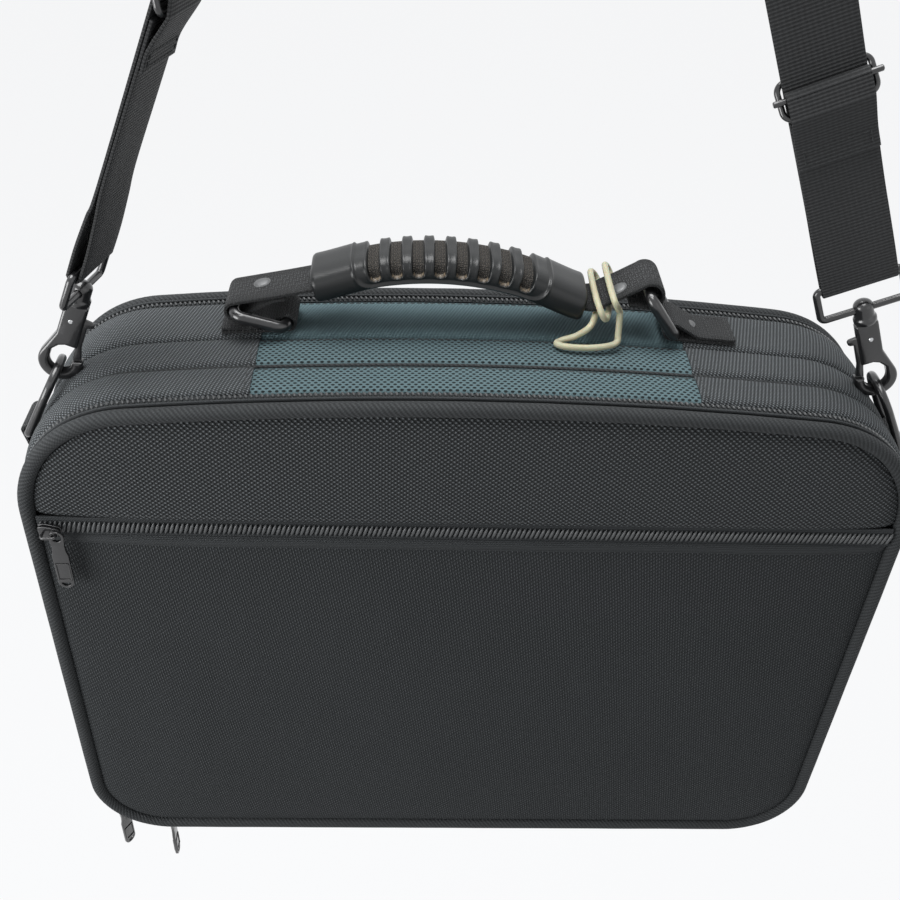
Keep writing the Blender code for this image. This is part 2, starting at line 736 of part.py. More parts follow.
def side_ring(name, side):
    """Ring with a straight bar in the gusset's tab and a round top in the hook."""
    half = SIDE_WEB / 2 + SIDE_WIRE / 2 + CLEAR * 2
    reach = SIDE_RING_HEIGHT - half
    bend = SIDE_WIRE * 0.65
    flat = [(-half, bend), (-half, reach)] + arc((0.0, reach), half, 180.0, 0.0, 8)[1:-1]
    flat += [(half, reach), (half, bend)] + arc((half - bend, bend), bend, 0.0, -90.0, 3)[1:]
    flat += arc((-half + bend, bend), bend, -90.0, -180.0, 3)[:-1]
    points = []
    for along, up in flat:
        x = RING_BAR_X - up * sin(RING_LEAN)
        points.append((side * x, STRAP_Y + along, RING_BAR_Z + up * cos(RING_LEAN)))
    part(name, tube(points, SIDE_WIRE / 2, True), BLACK_METAL, smooth=60)


def side_tab(name, side):
    """Webbing sewn to the gusset and folded round the ring's bar."""
    thick = SIDE_WEB_THICK
    wrap = SIDE_WIRE / 2 + CLEAR + thick / 2
    inner = CLEAR + thick / 2
    outer = inner + thick + CLEAR
    foot = RING_BAR_Z - SIDE_TAB_LENGTH
    bend = (RING_BAR_Z + CORNER_Z) / 2
    turn = RING_BAR_ANGLE * 180.0 / pi
    points = [(side_reach(z, inner), z) for z in (foot, CORNER_Z, bend)]
    points += arc((RING_BAR_X, RING_BAR_Z), wrap, turn + 180.0, turn - 15.0, 8)
    low = RING_BAR_Z - 2.4 * wrap
    points.append((side_reach(low, outer + 2 * CLEAR), low))
    points += [(side_reach(z, outer), z) for z in (RING_BAR_Z - 3.6 * wrap, CORNER_Z - wrap, foot)]
    part(name, level_ribbon(mirrored(points, side), SIDE_WEB, thick, STRAP_Y), WEBBING)


def leg_frame(side):
    """Hook frame of one strap leg at the side ring's top: inboard, thickness and up the leg."""
    inboard = Vector((-side * cos(LEG_ANGLE), 0.0, -sin(LEG_ANGLE)))
    up = Vector((-side * sin(LEG_ANGLE), 0.0, cos(LEG_ANGLE)))
    origin = Vector((side * RING_TOP_X, STRAP_Y, RING_TOP_Z))
    return frame_at(origin, inboard, (0.0, -side, 0.0), up)


def web_frame(side):
    """Webbing frame of one strap leg: across the webbing, out of its face and up the leg."""
    hook = leg_frame(side)
    inboard = hook.col[0].to_3d()
    up = hook.col[2].to_3d()
    if side < 0:
        straight = frame_at(hook.translation, (0, 1, 0), -inboard, up)
        return straight @ Matrix.Rotation(-radians(LEFT_STRAP_TURN), 4, "Z")
    return frame_at(hook.translation, -inboard, (0, 1, 0), up)


def hook_outline():
    """Shank, spine and open eye of the snap hook, in inboard and up the leg."""
    half = SHANK_WIDTH / 2
    eye = (0.0, EYE_CENTRE)
    outer = EYE_RADIUS + HOOK_ROD
    tip = HOOK_TIP_ANGLE
    points = [(half, SHANK_TOP), (-half, SHANK_TOP), (-half, SHANK_FOOT + half)]
    points += arc(eye, outer, 155.0, 360.0 + tip, 14)
    points += arc(eye, EYE_RADIUS, 360.0 + tip, 180.0, 10)
    points += [(-EYE_RADIUS, EYE_CENTRE + EYE_RADIUS), (-half / 2, SHANK_FOOT - CLEAR * 4)]
    points += [(0.0, SHANK_FOOT), (half, SHANK_FOOT)]
    return points


def trigger_outline():
    """Lever from its pin to the gate's end, with the thumb catch on its inboard side."""
    px, ps = TRIGGER_PIVOT
    boss = TRIGGER_SLOT_FLOOR - CLEAR + px
    half = SHANK_WIDTH / 2
    eye = Vector((0.0, EYE_CENTRE))
    tip = radians(HOOK_TIP_ANGLE)
    way = Vector((cos(tip), sin(tip)))
    lift = Vector((-sin(tip), cos(tip))) * (CLEAR * 2)
    heel = eye + way * (EYE_RADIUS + CLEAR) + lift
    toe = eye + way * (EYE_RADIUS + HOOK_ROD - CLEAR * 2) + lift
    points = arc((px, ps), boss, 120.0, 270.0, 5)
    points += [(half - CLEAR * 5, SHANK_FOOT + boss), (heel.x - CLEAR * 2, SHANK_FOOT - boss)]
    points += [tuple(heel), tuple(toe), (half + boss, SHANK_FOOT)]
    points += [(half + boss * 0.9, ps - boss), (half + boss * 2.0, ps - boss * 0.8)]
    points += [(half + boss * 2.4, ps), (half + boss * 1.9, ps + boss * 0.7), (half, ps + boss)]
    return points


def snap_hook(name, side):
    """Hook body with a slot for its spring-loaded trigger, the trigger, its pin and its leaf spring."""
    frame = leg_frame(side)
    flat = frame @ Matrix(((1, 0, 0, 0), (0, 0, 1, 0), (0, 1, 0, 0), (0, 0, 0, 1)))
    pivot = frame.translation
    px, ps = TRIGGER_PIVOT
    half = HOOK_THICK / 2
    body = eased(plate([hook_outline()], -half, half, Matrix()), HOOK_EDGE)
    body.transform(ACROSS)
    slot = TRIGGER_THICK / 2 + CLEAR
    room = (EYE_RADIUS + HOOK_ROD) * 2
    trench = box((-TRIGGER_SLOT_FLOOR, -slot, SHANK_FOOT - HOOK_ROD / 2), (room, slot, ps + HOOK_ROD))
    bore = rod((px, -room, ps), (px, room, ps), PIN_RADIUS + CLEAR, 12)
    stem = rod((0.0, 0.0, SHANK_TOP - STEM_LENGTH), (0.0, 0.0, SHANK_TOP + STEM_LENGTH), STEM_RADIUS)
    body = combine(combine(body, [stem], "UNION"), [trench, bore])
    body.transform(frame)
    part(name + "_hook_body", body, BLACK_METAL, pivot, smooth=40)
    lever = plate([trigger_outline(), arc((px, ps), PIN_RADIUS + CLEAR, 0.0, 330.0, 11)],
                  -TRIGGER_THICK / 2, TRIGGER_THICK / 2, flat)
    part(name + "_hook_trigger", lever, BLACK_METAL, frame @ Vector((px, 0.0, ps)))
    pin = rod((px, -half, ps), (px, half, ps), PIN_RADIUS, 12)
    pin.transform(frame)
    part(name + "_hook_pin", pin, STEEL, pivot, smooth=40)
    seat = -TRIGGER_SLOT_FLOOR + CLEAR + SPRING_THICK / 2
    crest = SPRING_THICK * 0.2
    leaf = [Vector((seat, 0.0, SHANK_FOOT)), Vector((crest, 0.0, SHANK_FOOT + HOOK_ROD / 2)),
            Vector((seat, 0.0, SHANK_FOOT + HOOK_ROD))]
    spring = ribbon(leaf, [Vector((0.0, 1.0, 0.0))] * 3, TRIGGER_THICK, SPRING_THICK)
    spring.transform(frame)
    part(name + "_hook_spring", spring, STEEL, pivot)


def swivel_head(name, side):
    """Turned barrel that the strap's loop passes through and the hook's stem turns in."""
    profile = [(0.0, HEAD_LENGTH), (HEAD_WAIST * 0.55, HEAD_LENGTH), (HEAD_WAIST * 0.9, HEAD_LENGTH * 0.93)]
    profile += [(HEAD_WAIST, HEAD_LENGTH * 0.8), (HEAD_WAIST, HEAD_LENGTH * 0.3)]
    profile += [(HEAD_RADIUS, HEAD_LENGTH * 0.24), (HEAD_RADIUS, CLEAR * 2), (HEAD_RADIUS * 0.9, 0.0), (0.0, 0.0)]
    head = turned([(radius, HEAD_BASE + height) for radius, height in profile], Matrix())
    reach = HEAD_RADIUS * 2
    turn = radians(LEFT_STRAP_TURN) if side < 0 else pi / 2
    way = Vector((sin(turn), cos(turn), 0.0)) * reach
    centre = Vector((0.0, 0.0, LOOP_LOW))
    eye = rod(centre - way, centre + way, LOOP_WIRE / 2 + CLEAR, 12)
    socket = rod((0.0, 0.0, HEAD_BASE - reach), (0.0, 0.0, HEAD_BASE + STEM_LENGTH), STEM_RADIUS + CLEAR)
    head = combine(head, [eye, socket])
    head.transform(leg_frame(side))
    part(name + "_swivel_head", head, BLACK_METAL, smooth=40)


def wire_loop(name, side):
    """Rectangular wire loop between the webbing and the swivel head."""
    half = STRAP_WIDTH / 2 + LOOP_SIDE_GAP + LOOP_WIRE / 2
    bend = LOOP_WIRE * 0.7
    flat = arc((half - bend, LOOP_HIGH - bend), bend, 0.0, 90.0, 3)
    flat += arc((-half + bend, LOOP_HIGH - bend), bend, 90.0, 180.0, 3)
    flat += arc((-half + bend, LOOP_LOW + bend), bend, 180.0, 270.0, 3)
    flat += arc((half - bend, LOOP_LOW + bend), bend, 270.0, 360.0, 3)
    frame = web_frame(side)
    points = [frame @ Vector((across, 0.0, up)) for across, up in flat]
    part(name + "_wire_loop", tube(points, LOOP_WIRE / 2, True), BLACK_METAL, smooth=60)


def leg_route(side, adjuster):
    """Webbing of one leg in its frame, from its cut end under the adjuster round the loop and up."""
    frame = web_frame(side)
    wrap = LOOP_WIRE / 2 + CLEAR + STRAP_THICK / 2
    layer = (STRAP_THICK + LAYER_GAP) / 2
    parted = LOOP_HIGH + SPREAD_LENGTH
    parting = ((0.55, 0.65), (1.0, 0.3))
    cut_end = adjuster - ADJUSTER_HALF_HEIGHT - ADJUSTER_WIRE
    route = [(-layer, cut_end), (-layer, (cut_end + parted) / 2), (-layer, parted)]
    route += [(-layer - (wrap - layer) * share, LOOP_HIGH + SPREAD_LENGTH * up) for share, up in parting]
    route += arc((0.0, LOOP_HIGH), wrap, 180.0, 360.0, 8)
    route += [(layer + (wrap - layer) * share, LOOP_HIGH + SPREAD_LENGTH * up) for share, up in parting[::-1]]
    route.append((layer, parted))
    route += [(layer, adjuster), (layer, TWIST_START)]
    places = [frame @ Vector((0.0, out, up)) for out, up in route]
    return places, [frame.col[0].to_3d()] * len(places), frame


def shoulder_strap():
    """One length of webbing from the right loop, over the hanging point, to the left loop."""
    layer = (STRAP_THICK + LAYER_GAP) / 2
    right, right_across, frame = leg_route(1, RIGHT_ADJUSTER)
    wide = frame.col[0].to_3d()
    out = frame.col[1].to_3d()
    steps = 10
    for i in range(1, steps + 1):
        part_way = i / steps
        up = TWIST_START + (LEG_LENGTH - TWIST_START) * part_way
        turn = pi / 2 * min(1.0, (up - TWIST_START) / (TWIST_END - TWIST_START))
        right.append(frame @ Vector((0.0, layer * (1.0 - part_way), up)))
        right_across.append(wide * cos(turn) + out * sin(turn))
    left, left_across, left_frame = leg_route(-1, LEFT_ADJUSTER)
    for i in range(1, 4):
        part_way = i / 3
        up = TWIST_START + (LEG_LENGTH - TWIST_START) * part_way
        left.append(left_frame @ Vector((0.0, layer * (1.0 - part_way), up)))
        turn = radians(LEFT_STRAP_TURN) * (1.0 - part_way)
        left_across.append(Matrix.Rotation(radians(LEFT_STRAP_TURN) - turn, 3, left_frame.col[2].to_3d()) @ left_across[0])
    sweep = LEG_ANGLE * 180.0 / pi
    over = arc((0.0, HANG_CENTRE_Z), HANG_RADIUS, sweep, 180.0 - sweep, 12)[1:-1]
    right += [Vector((x, STRAP_Y, z)) for x, z in over]
    right_across += [Vector((0.0, 1.0, 0.0))] * len(over)
    points = right + left[::-1]
    across = right_across + left_across[::-1]
    part("shoulder_strap", ribbon(points, across, STRAP_WIDTH, STRAP_THICK), WEBBING)


def strap_adjuster(name, side, height):
    """Wire frame with a cross bar, and the sewn webbing end folded over the bar."""
    frame = web_frame(side) @ Matrix.Translation((0.0, 0.0, height))
    tilt = radians(ADJUSTER_TILT)
    wire = ADJUSTER_WIRE / 2
    half = STRAP_WIDTH / 2 + LOOP_SIDE_GAP + wire
    bend = ADJUSTER_HALF_HEIGHT / 2
    tall = ADJUSTER_HALF_HEIGHT
    flat = arc((half - bend, tall - bend), bend, 0.0, 90.0, 4)
    flat += arc((-half + bend, tall - bend), bend, 90.0, 180.0, 4)
    flat += arc((-half + bend, -tall + bend), bend, 180.0, 270.0, 4)
    flat += arc((half - bend, -tall + bend), bend, 270.0, 360.0, 4)
    points = [frame @ Vector((across, up * sin(tilt), up * cos(tilt))) for across, up in flat]
    pivot = frame.translation
    part(name + "_adjuster_frame", tube(points, wire, True), BLACK_METAL, pivot, smooth=60)
    off = ADJUSTER_WIRE + CLEAR
    out = -off * cos(tilt)
    up = off * sin(tilt)
    reach = half + wire + ADJUSTER_BAR_OVERHANG
    bar = rod(frame @ Vector((-reach, out, up)), frame @ Vector((reach, out, up)), wire, 12)
    part(name + "_adjuster_bar", bar, BLACK_METAL, pivot, smooth=40)
    wrap = wire + CLEAR + STRAP_THICK / 2
    rail = -tall * sin(tilt) - wire - CLEAR - STRAP_THICK / 2
    flat_out = -STRAP_THICK * 1.5 - LAYER_GAP / 2 - CLEAR
    route = [(flat_out, -TAIL_LENGTH), (flat_out, -TAIL_LENGTH * 0.7), (rail, -tall * cos(tilt) - wire)]
    route += [(rail, -tall * cos(tilt) + wire)] + arc((out, up), wrap, 180.0, 40.0, 6)
    places = [frame @ Vector((0.0, away, along)) for away, along in route]
    tail = ribbon(places, [frame.col[0].to_3d()] * len(places), STRAP_WIDTH, STRAP_THICK)
    part(name + "_strap_tail", tail, WEBBING, pivot)


def handle_ring(name, pivot, angle):
    """Rounded rectangular ring that turns in its tab and carries the handle's webbing."""
    half = HANDLE_RING_WIDTH / 2
    bend = HANDLE_RING_CORNER
    far = HANDLE_RING_LENGTH
    flat = arc((far - bend, half - bend), bend, 0.0, 90.0, 3) + arc((bend, half - bend), bend, 90.0, 180.0, 3)
    flat += arc((bend, bend - half), bend, 180.0, 270.0, 3) + arc((far - bend, bend - half), bend, 270.0, 360.0, 3)
    way = polar((0.0, 0.0, 0.0), 1.0, angle)
    points = [pivot + way * along + Vector((0.0, across, 0.0)) for along, across in flat]
    part(name, tube(points, HANDLE_WIRE / 2, True), RUBBER, pivot, smooth=60)


def handle_tab(name, side, pivot):
    """Webbing tab sewn along the top strip and folded round a handle ring."""
    thick = HANDLE_TAB_THICK
    near = abs(pivot.x)
    end = near + HANDLE_TAB_TAIL

    def rest(x, layers):
        return (x, crown_height(x) + CLEAR + thick / 2 + layers * (thick + CLEAR))

    points = [rest(end, 0), rest((end + near) / 2, 0)]
    points += arc((near, pivot.z), TAB_WRAP, 270.0, 60.0, 9)
    lead = near + TAB_WRAP * 2.6
    points += [rest(lead, 1.6), rest(lead + TAB_WRAP, 1.0), rest(end, 1.0)]
    part(name, level_ribbon(mirrored(points, side), HANDLE_TAB_WIDTH, thick, HANDLE_Y), WEBBING)


def smooth_run(points, steps):
    """Points of a curve that passes through given points."""
    run = []
    ends = [points[0] * 2 - points[1]] + points + [points[-1] * 2 - points[-2]]
    for a, b, c, d in zip(ends, ends[1:], ends[2:], ends[3:]):
        for i in range(steps):
            t = i / steps
            bend = 2 * b + (c - a) * t + (2 * a - 5 * b + 4 * c - d) * t ** 2
            run.append((bend + (3 * b - a - 3 * c + d) * t ** 3) / 2)
    return run + [points[-1]]


def grip_knots():
    """Middle line of the grip: its ends, middle and two points between."""
    half = GRIP_LENGTH / 2
    rises = ((-1.0, GRIP_LEFT_RISE), (0.0, GRIP_RISE), (1.0, GRIP_RIGHT_RISE))
    knots = [Vector((GRIP_OFFSET + half * share, HANDLE_Y, BAG_HEIGHT + rise)) for share, rise in rises]
    left, middle, right = knots
    lift = Vector((0.0, 0.0, (middle.z * 2 - left.z - right.z) / 8))
    return [left, (left + middle) / 2 + lift, middle, (middle + right) / 2 + lift, right]


def oval(place, way, width, height, count, power):
    """Section of a flattened round bar across its run."""
    side = Vector((0.0, 1.0, 0.0))
    lift = way.cross(side).normalized()
    points = []
    for i in range(count):
        angle = 2 * pi * (i + 0.5) / count
        c = cos(angle)
        s = sin(angle)
        across = width / 2 * abs(c) ** power * (1 if c > 0 else -1)
        up = height / 2 * abs(s) ** power * (1 if s > 0 else -1)
        points.append(place + side * across - lift * up)
    return points


def run_ways(run):
    """Direction of a run at each of its points."""
    last = len(run) - 1
    return [(run[min(i + 1, last)] - run[max(i - 1, 0)]).normalized() for i in range(last + 1)]


def core_share(x):
    """How far the webbing has swollen into the grip's core at x, from 0 to 1."""
    inside = GRIP_LENGTH / 2 - abs(x - GRIP_OFFSET)
    return max(0.0, min(1.0, (inside - CORE_RAMP / 2) / CORE_RAMP))


def core_section(place, way, grow):
    """Section of the webbing, flat outside the grip and full inside it."""
    share = core_share(place.x)
    width = HANDLE_WEB + (CORE_WIDTH - HANDLE_WEB) * share + 2 * grow
    height = HANDLE_WEB_THICK + (CORE_HEIGHT - HANDLE_WEB_THICK) * share + 2 * grow
    return oval(place, way, width, height, 12, 0.25 + 0.35 * share)


def handle_route():
    """Middle line of the handle's webbing from cut end to cut end, and where the grip starts and ends."""
    knots = grip_knots()
    left_wrap = HANDLE_WIRE / 2 + RING_SLACK + HANDLE_WEB_THICK / 2
    right_wrap = HANDLE_WIRE / 2 + LOOSE_LOOP_SLACK + HANDLE_WEB_THICK / 2
    rise = knots[0] - LEFT_EYE
    climb = atan2(rise.z - left_wrap, rise.x) * 180.0 / pi
    left = [polar(LEFT_EYE, left_wrap, 300.0 + (90.0 + climb - 300.0) * i / 9) for i in range(10)]
    way = polar((0.0, 0.0, 0.0), 1.0, climb)
    below = Vector((way.z, 0.0, -way.x)) * (HANDLE_WEB_THICK + CLEAR * 2)
    back = [left[-1] + way * (left_wrap * share) + below * drop for share, drop in ((6.0, 1.0), (4.4, 1.0), (2.8, 1.7))]
    right = [polar(RIGHT_EYE, right_wrap, 135.0 - (135.0 + 95.0) * i / 10) for i in range(11)]
    tail = right[-1] + Vector((-right_wrap * 1.4, 0.0, right_wrap * 0.15))
    valley = knots[-1] + (right[0] - knots[-1]) * 0.45 - Vector((0.0, 0.0, HANDLE_WEB_THICK))
    steps = 6
    middle = smooth_run([left[-1]] + knots + [valley, right[0]], steps)
    start = back + left[:-1]
    first = len(start) + steps
    return start + middle + right[1:] + [tail], first, first + steps * (len(knots) - 1)


def handle_parts():
    """The webbing with its swollen core, and the slotted rubber grip moulded round it."""
    route, first, last = handle_route()
    ways = run_ways(route)
    part("handle_webbing", loft([core_section(p, w, 0.0) for p, w in zip(route, ways)]), WEBBING, LEFT_EYE, smooth=50)
    through = range(first - 1, last + 2)
    hollow = loft([core_section(route[i], ways[i], CLEAR) for i in through])
    run = route[first:last + 1]
    ways = ways[first:last + 1]
    run[0] = run[0] - ways[0] * CLEAR
    run[-1] = run[-1] + ways[-1] * CLEAR
    sleeve = loft([oval(p, w, *grip_size(i, len(run)), 16, 0.62) for i, (p, w) in enumerate(zip(run, ways))])
    slots = []
    for i in range(SLOTS):
        x = GRIP_OFFSET + (i - (SLOTS - 1) / 2) * SLOT_PITCH
        near = min(range(len(run)), key=lambda k: abs(run[k].x - x))
        slope = ways[near].z / ways[near].x
        centre = run[near] + Vector((x - run[near].x, 0.0, (x - run[near].x) * slope))
        up = Vector((-ways[near].z, 0.0, ways[near].x))
        frame = frame_at(centre, ways[near], (0, 1, 0), up)
        low = (-SLOT_WIDTH / 2, -GRIP_WIDTH, -SLOT_DEPTH_BELOW_AXIS)
        slots.append(box(low, (SLOT_WIDTH / 2, GRIP_WIDTH, GRIP_HEIGHT), 0.0, frame))
    part("handle_grip", combine(sleeve, [hollow] + slots), RUBBER, LEFT_EYE, smooth=50)


def grip_size(index, count):
    """Width and height of the grip's section, drawn in a little at its two end faces."""
    share = 0.9 if index in (0, count - 1) else 1.0
    return GRIP_WIDTH * share, GRIP_HEIGHT * share


def tag_loop():
    """Soft plastic loop wound twice round the handle's webbing, its slack lying on the bag."""
    route = handle_route()[0]
    ways = run_ways(route)
    reach = HANDLE_WEB / 2 + TAG_SLACK + TAG_RADIUS
    lift = HANDLE_WEB_THICK / 2 + TAG_SLACK + TAG_RADIUS
    corners = []
    for x in TAG_WRAPS:
        near = min(range(len(route) // 2, len(route)), key=lambda i: abs(route[i].x - x))
        up = Vector((-ways[near].z, 0.0, ways[near].x)) * lift
        side = Vector((0.0, reach, 0.0))
        middle = route[near] + ways[near] * ((x - route[near].x) / ways[near].x)
        corners += [middle - side - up, middle - side + up, middle + side + up, middle + side - up]
    step = Vector((TAG_WRAPS[1] - TAG_WRAPS[0], 0.0, 0.0))
    start = corners[0]
    end = corners[4] + step - Vector((0.0, 0.0, TAG_SLACK))
    rest = BAG_HEIGHT + TAG_RADIUS + CLEAR
    away = end.y - TAG_RADIUS * 2

    def lying(x, shares, lift_share=0.0):
        return Vector((x, away - TAG_RADIUS * shares, rest + (end.z - rest) * lift_share))

    slack = [end, lying(end.x - TAG_REACH * 0.4, 0.0, 0.35), lying(end.x - TAG_REACH * 0.85, 0.6, 0.05)]
    slack += [lying(end.x - TAG_REACH, 2.2), lying(end.x - TAG_REACH * 0.7, 3.8), lying(end.x, 4.0)]
    slack += [lying(start.x - TAG_RADIUS, 2.4, 0.1), lying(start.x, 0.2, 0.5)]
    run = smooth_run(corners + slack + [start], 3)
    return tube(run[:-1], TAG_RADIUS, True, 1)


def main():
    """Build every piece."""
    front_hinge = (0.0, FLAP_TAPE_Y + TAPE_WIDTH, CLEAR)
    rear_hinge = (0.0, REAR_TAPE_Y, CLEAR)
    gusset_parts()
    zip_coils()
    front_flap_parts(front_hinge)
    rear_flap_parts(rear_hinge)
    front_pocket_slider()
    front_zip_sliders()
    rear_zip_slider()
    for name, side, pivot in (("left", -1, LEFT_PIVOT), ("right", 1, RIGHT_PIVOT)):
        side_ring(name + "_side_ring", side)
        side_tab(name + "_side_tab", side)
        snap_hook(name, side)
        swivel_head(name, side)
        wire_loop(name, side)
        handle_tab(name + "_handle_tab", side, pivot)
    shoulder_strap()
    strap_adjuster("left", -1, LEFT_ADJUSTER)
    strap_adjuster("right", 1, RIGHT_ADJUSTER)
    handle_ring("left_handle_ring", LEFT_PIVOT, LEFT_RING_ANGLE)
    handle_ring("right_handle_ring", RIGHT_PIVOT, RIGHT_RING_ANGLE)
    handle_parts()
    part("tag_loop", tag_loop(), TAG, LEFT_EYE, smooth=60)


main()
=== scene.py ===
"""Looks of a soft-sided laptop briefcase that hangs by its shoulder strap.

The file is laid out as an add-on and run as a script. Lengths are in metres. Pieces are modelled in the bag's
own frame, as in the part's source: x across the bag, y from the front panel to the rear, z up from the base.
settle() then lowers each mesh into the frame whose origin is the point where the strap hangs.
"""
from math import asin, atan2, cos, exp, hypot, pi, radians, sin, sqrt

import bpy
from mathutils import Matrix, Vector, noise


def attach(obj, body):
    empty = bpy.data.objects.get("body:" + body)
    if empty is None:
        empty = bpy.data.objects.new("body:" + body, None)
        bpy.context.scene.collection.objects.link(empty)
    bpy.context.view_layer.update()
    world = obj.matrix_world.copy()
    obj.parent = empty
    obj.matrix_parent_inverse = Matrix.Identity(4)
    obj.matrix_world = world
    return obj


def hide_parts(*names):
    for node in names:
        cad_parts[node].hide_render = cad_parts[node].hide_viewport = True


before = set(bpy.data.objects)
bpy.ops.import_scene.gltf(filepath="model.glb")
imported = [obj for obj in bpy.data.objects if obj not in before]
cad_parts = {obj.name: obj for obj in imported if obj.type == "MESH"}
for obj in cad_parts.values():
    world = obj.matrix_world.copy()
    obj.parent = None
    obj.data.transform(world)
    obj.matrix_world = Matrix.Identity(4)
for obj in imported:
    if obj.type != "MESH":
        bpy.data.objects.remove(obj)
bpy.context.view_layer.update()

bl_info = {
    "name": "Laptop briefcase",
    "version": (1, 0, 0),
    "blender": (4, 5, 0),
    "location": "View3D > Sidebar > Briefcase",
    "description": "Models a soft-sided laptop briefcase that hangs by its shoulder strap",
    "category": "Object",
}

# Bag body, as in the part's source
BAG_WIDTH = 0.410
BAG_HEIGHT = 0.310
TOP_CORNER = 0.058
BASE_CORNER = 0.042
TOP_CROWN = 0.007
WALL = 0.003
FRONT_STRIP = 0.0197
MIDDLE_STRIP = 0.0209
REAR_STRIP = 0.0317
MESH_HALF = 0.0985
DIVIDER = 0.002
RIDGE_RADIUS = 0.0016
RIDGE_PROUD = 0.001
PIPING_RADIUS = 0.0035
COIL_RADIUS = 0.0017
TAPE_WIDTH = 0.0016
TAPE_DEPTH = 0.0025
CLEAR = 0.0003
POCKET_Z = BAG_HEIGHT - 0.0715
POCKET_TAPE = 0.0110
POCKET_COIL = 0.0052
POCKET_COIL_PROUD = 0.0012
POCKET_SLIDER_X = 0.0140 - BAG_WIDTH / 2

# Zip sliders and pulls
SLIDER_LENGTH = 0.0100
SLIDER_WIDTH = 0.0072
SLIDER_THICK = 0.0030
BAIL_WIRE = 0.0014
BAIL_SPAN = 0.0062
BAIL_RISE = 0.0036
PULL_LENGTH = 0.0350
PULL_WIDTH = 0.0074
PULL_THICK = 0.0016
PULL_EYE = 0.0048
PULL_EYE_RIM = 0.0011
PULL_END_HOLE = 0.0022
FRONT_SLIDER_ANGLES = (228.0, 266.0)
FRONT_PULL_TWISTS = (32.0, 0.0)
REAR_SLIDER_Z = 0.100

# Side rings and snap hooks
SIDE_WEB = 0.0200
SIDE_WEB_THICK = 0.0016
SIDE_TAB_LENGTH = 0.034
SIDE_WIRE = 0.0040
SIDE_RING_HEIGHT = 0.0365
SIDE_RING_DROP = 0.0455
RING_LEAN = radians(28.0)
EYE_RADIUS = 0.0052
EYE_SLACK = 0.0009
HOOK_ROD = 0.0046
HOOK_THICK = 0.0054
HOOK_EDGE = 0.0013
HOOK_TIP_ANGLE = 20.0
SHANK_WIDTH = 0.0104
SHANK_TOP = 0.0343
SHANK_FOOT = 0.0120
STEM_RADIUS = 0.0022
STEM_LENGTH = 0.0030
TRIGGER_THICK = 0.0023
TRIGGER_SLOT_FLOOR = 0.0026
TRIGGER_PIVOT = (-0.0005, 0.0255)
PIN_RADIUS = 0.0011
SPRING_THICK = 0.0005
HEAD_RADIUS = 0.0052
HEAD_WAIST = 0.0044
HEAD_LENGTH = 0.0118
HEAD_EYE = 0.0072

# Shoulder strap
HANG_HEIGHT = 0.700
HANG_RADIUS = 0.030
STRAP_WIDTH = 0.033
STRAP_THICK = 0.0014
LOOP_WIRE = 0.0034
LOOP_HEIGHT = 0.0155
LOOP_SIDE_GAP = 0.0006
LAYER_GAP = 0.0003
SPREAD_LENGTH = 0.044
LEFT_STRAP_TURN = radians(12.0)
TWIST_START = 0.225
TWIST_END = 0.420
LEFT_ADJUSTER = 0.182
RIGHT_ADJUSTER = 0.149
ADJUSTER_WIRE = 0.0026
ADJUSTER_HALF_HEIGHT = 0.0072
ADJUSTER_TILT = radians(30.0)
ADJUSTER_BAR_OVERHANG = 0.0018
TAIL_LENGTH = 0.030

# Top handle
HANDLE_Y = 0.0665
LEFT_TAB_X = 0.0865
RIGHT_TAB_X = 0.0930
HANDLE_TAB_WIDTH = 0.0210
HANDLE_TAB_THICK = 0.0016
HANDLE_TAB_TAIL = 0.030
HANDLE_WEB = 0.0235
HANDLE_WEB_THICK = 0.0018
HANDLE_WIRE = 0.0055
HANDLE_RING_LENGTH = 0.0240
HANDLE_RING_WIDTH = 0.0300
HANDLE_RING_CORNER = 0.0045
LEFT_RING_ANGLE = 165.0
RIGHT_RING_ANGLE = 125.0
RING_SLACK = 0.00035
LOOSE_LOOP_SLACK = 0.0023
GRIP_LENGTH = 0.1230
GRIP_OFFSET = -0.0120
GRIP_RISE = 0.0320
GRIP_LEFT_RISE = 0.0210
GRIP_RIGHT_RISE = 0.0145
GRIP_WIDTH = 0.0290
GRIP_HEIGHT = 0.0155
CORE_WIDTH = 0.0240
CORE_HEIGHT = 0.0105
CORE_RAMP = 0.0060
SLOTS = 8
SLOT_PITCH = 0.0096
SLOT_WIDTH = 0.0044
TAG_RADIUS = 0.0015
TAG_WRAPS = (0.0635, 0.0575)
TAG_SLACK = 0.0018
TAG_REACH = 0.0165

# Depths from the front piping's middle to the rear one's
FLAP_TAPE_Y = PIPING_RADIUS + CLEAR
COIL_Y = FLAP_TAPE_Y + TAPE_WIDTH + CLEAR + COIL_RADIUS
FRONT_Y = COIL_Y + COIL_RADIUS + CLEAR
RIDGE_Y = FRONT_Y + FRONT_STRIP + CLEAR + RIDGE_RADIUS
MIDDLE_Y = RIDGE_Y + RIDGE_RADIUS + CLEAR
REAR_Y = MIDDLE_Y + MIDDLE_STRIP + CLEAR
REAR_COIL_Y = REAR_Y + REAR_STRIP + CLEAR + COIL_RADIUS
REAR_TAPE_Y = REAR_COIL_Y + COIL_RADIUS + CLEAR
REAR_PIPING_Y = REAR_TAPE_Y + TAPE_WIDTH + CLEAR + PIPING_RADIUS
STRAP_Y = MIDDLE_Y + MIDDLE_STRIP / 2
HANG_DOWN = Vector((0.0, -STRAP_Y, -HANG_HEIGHT))

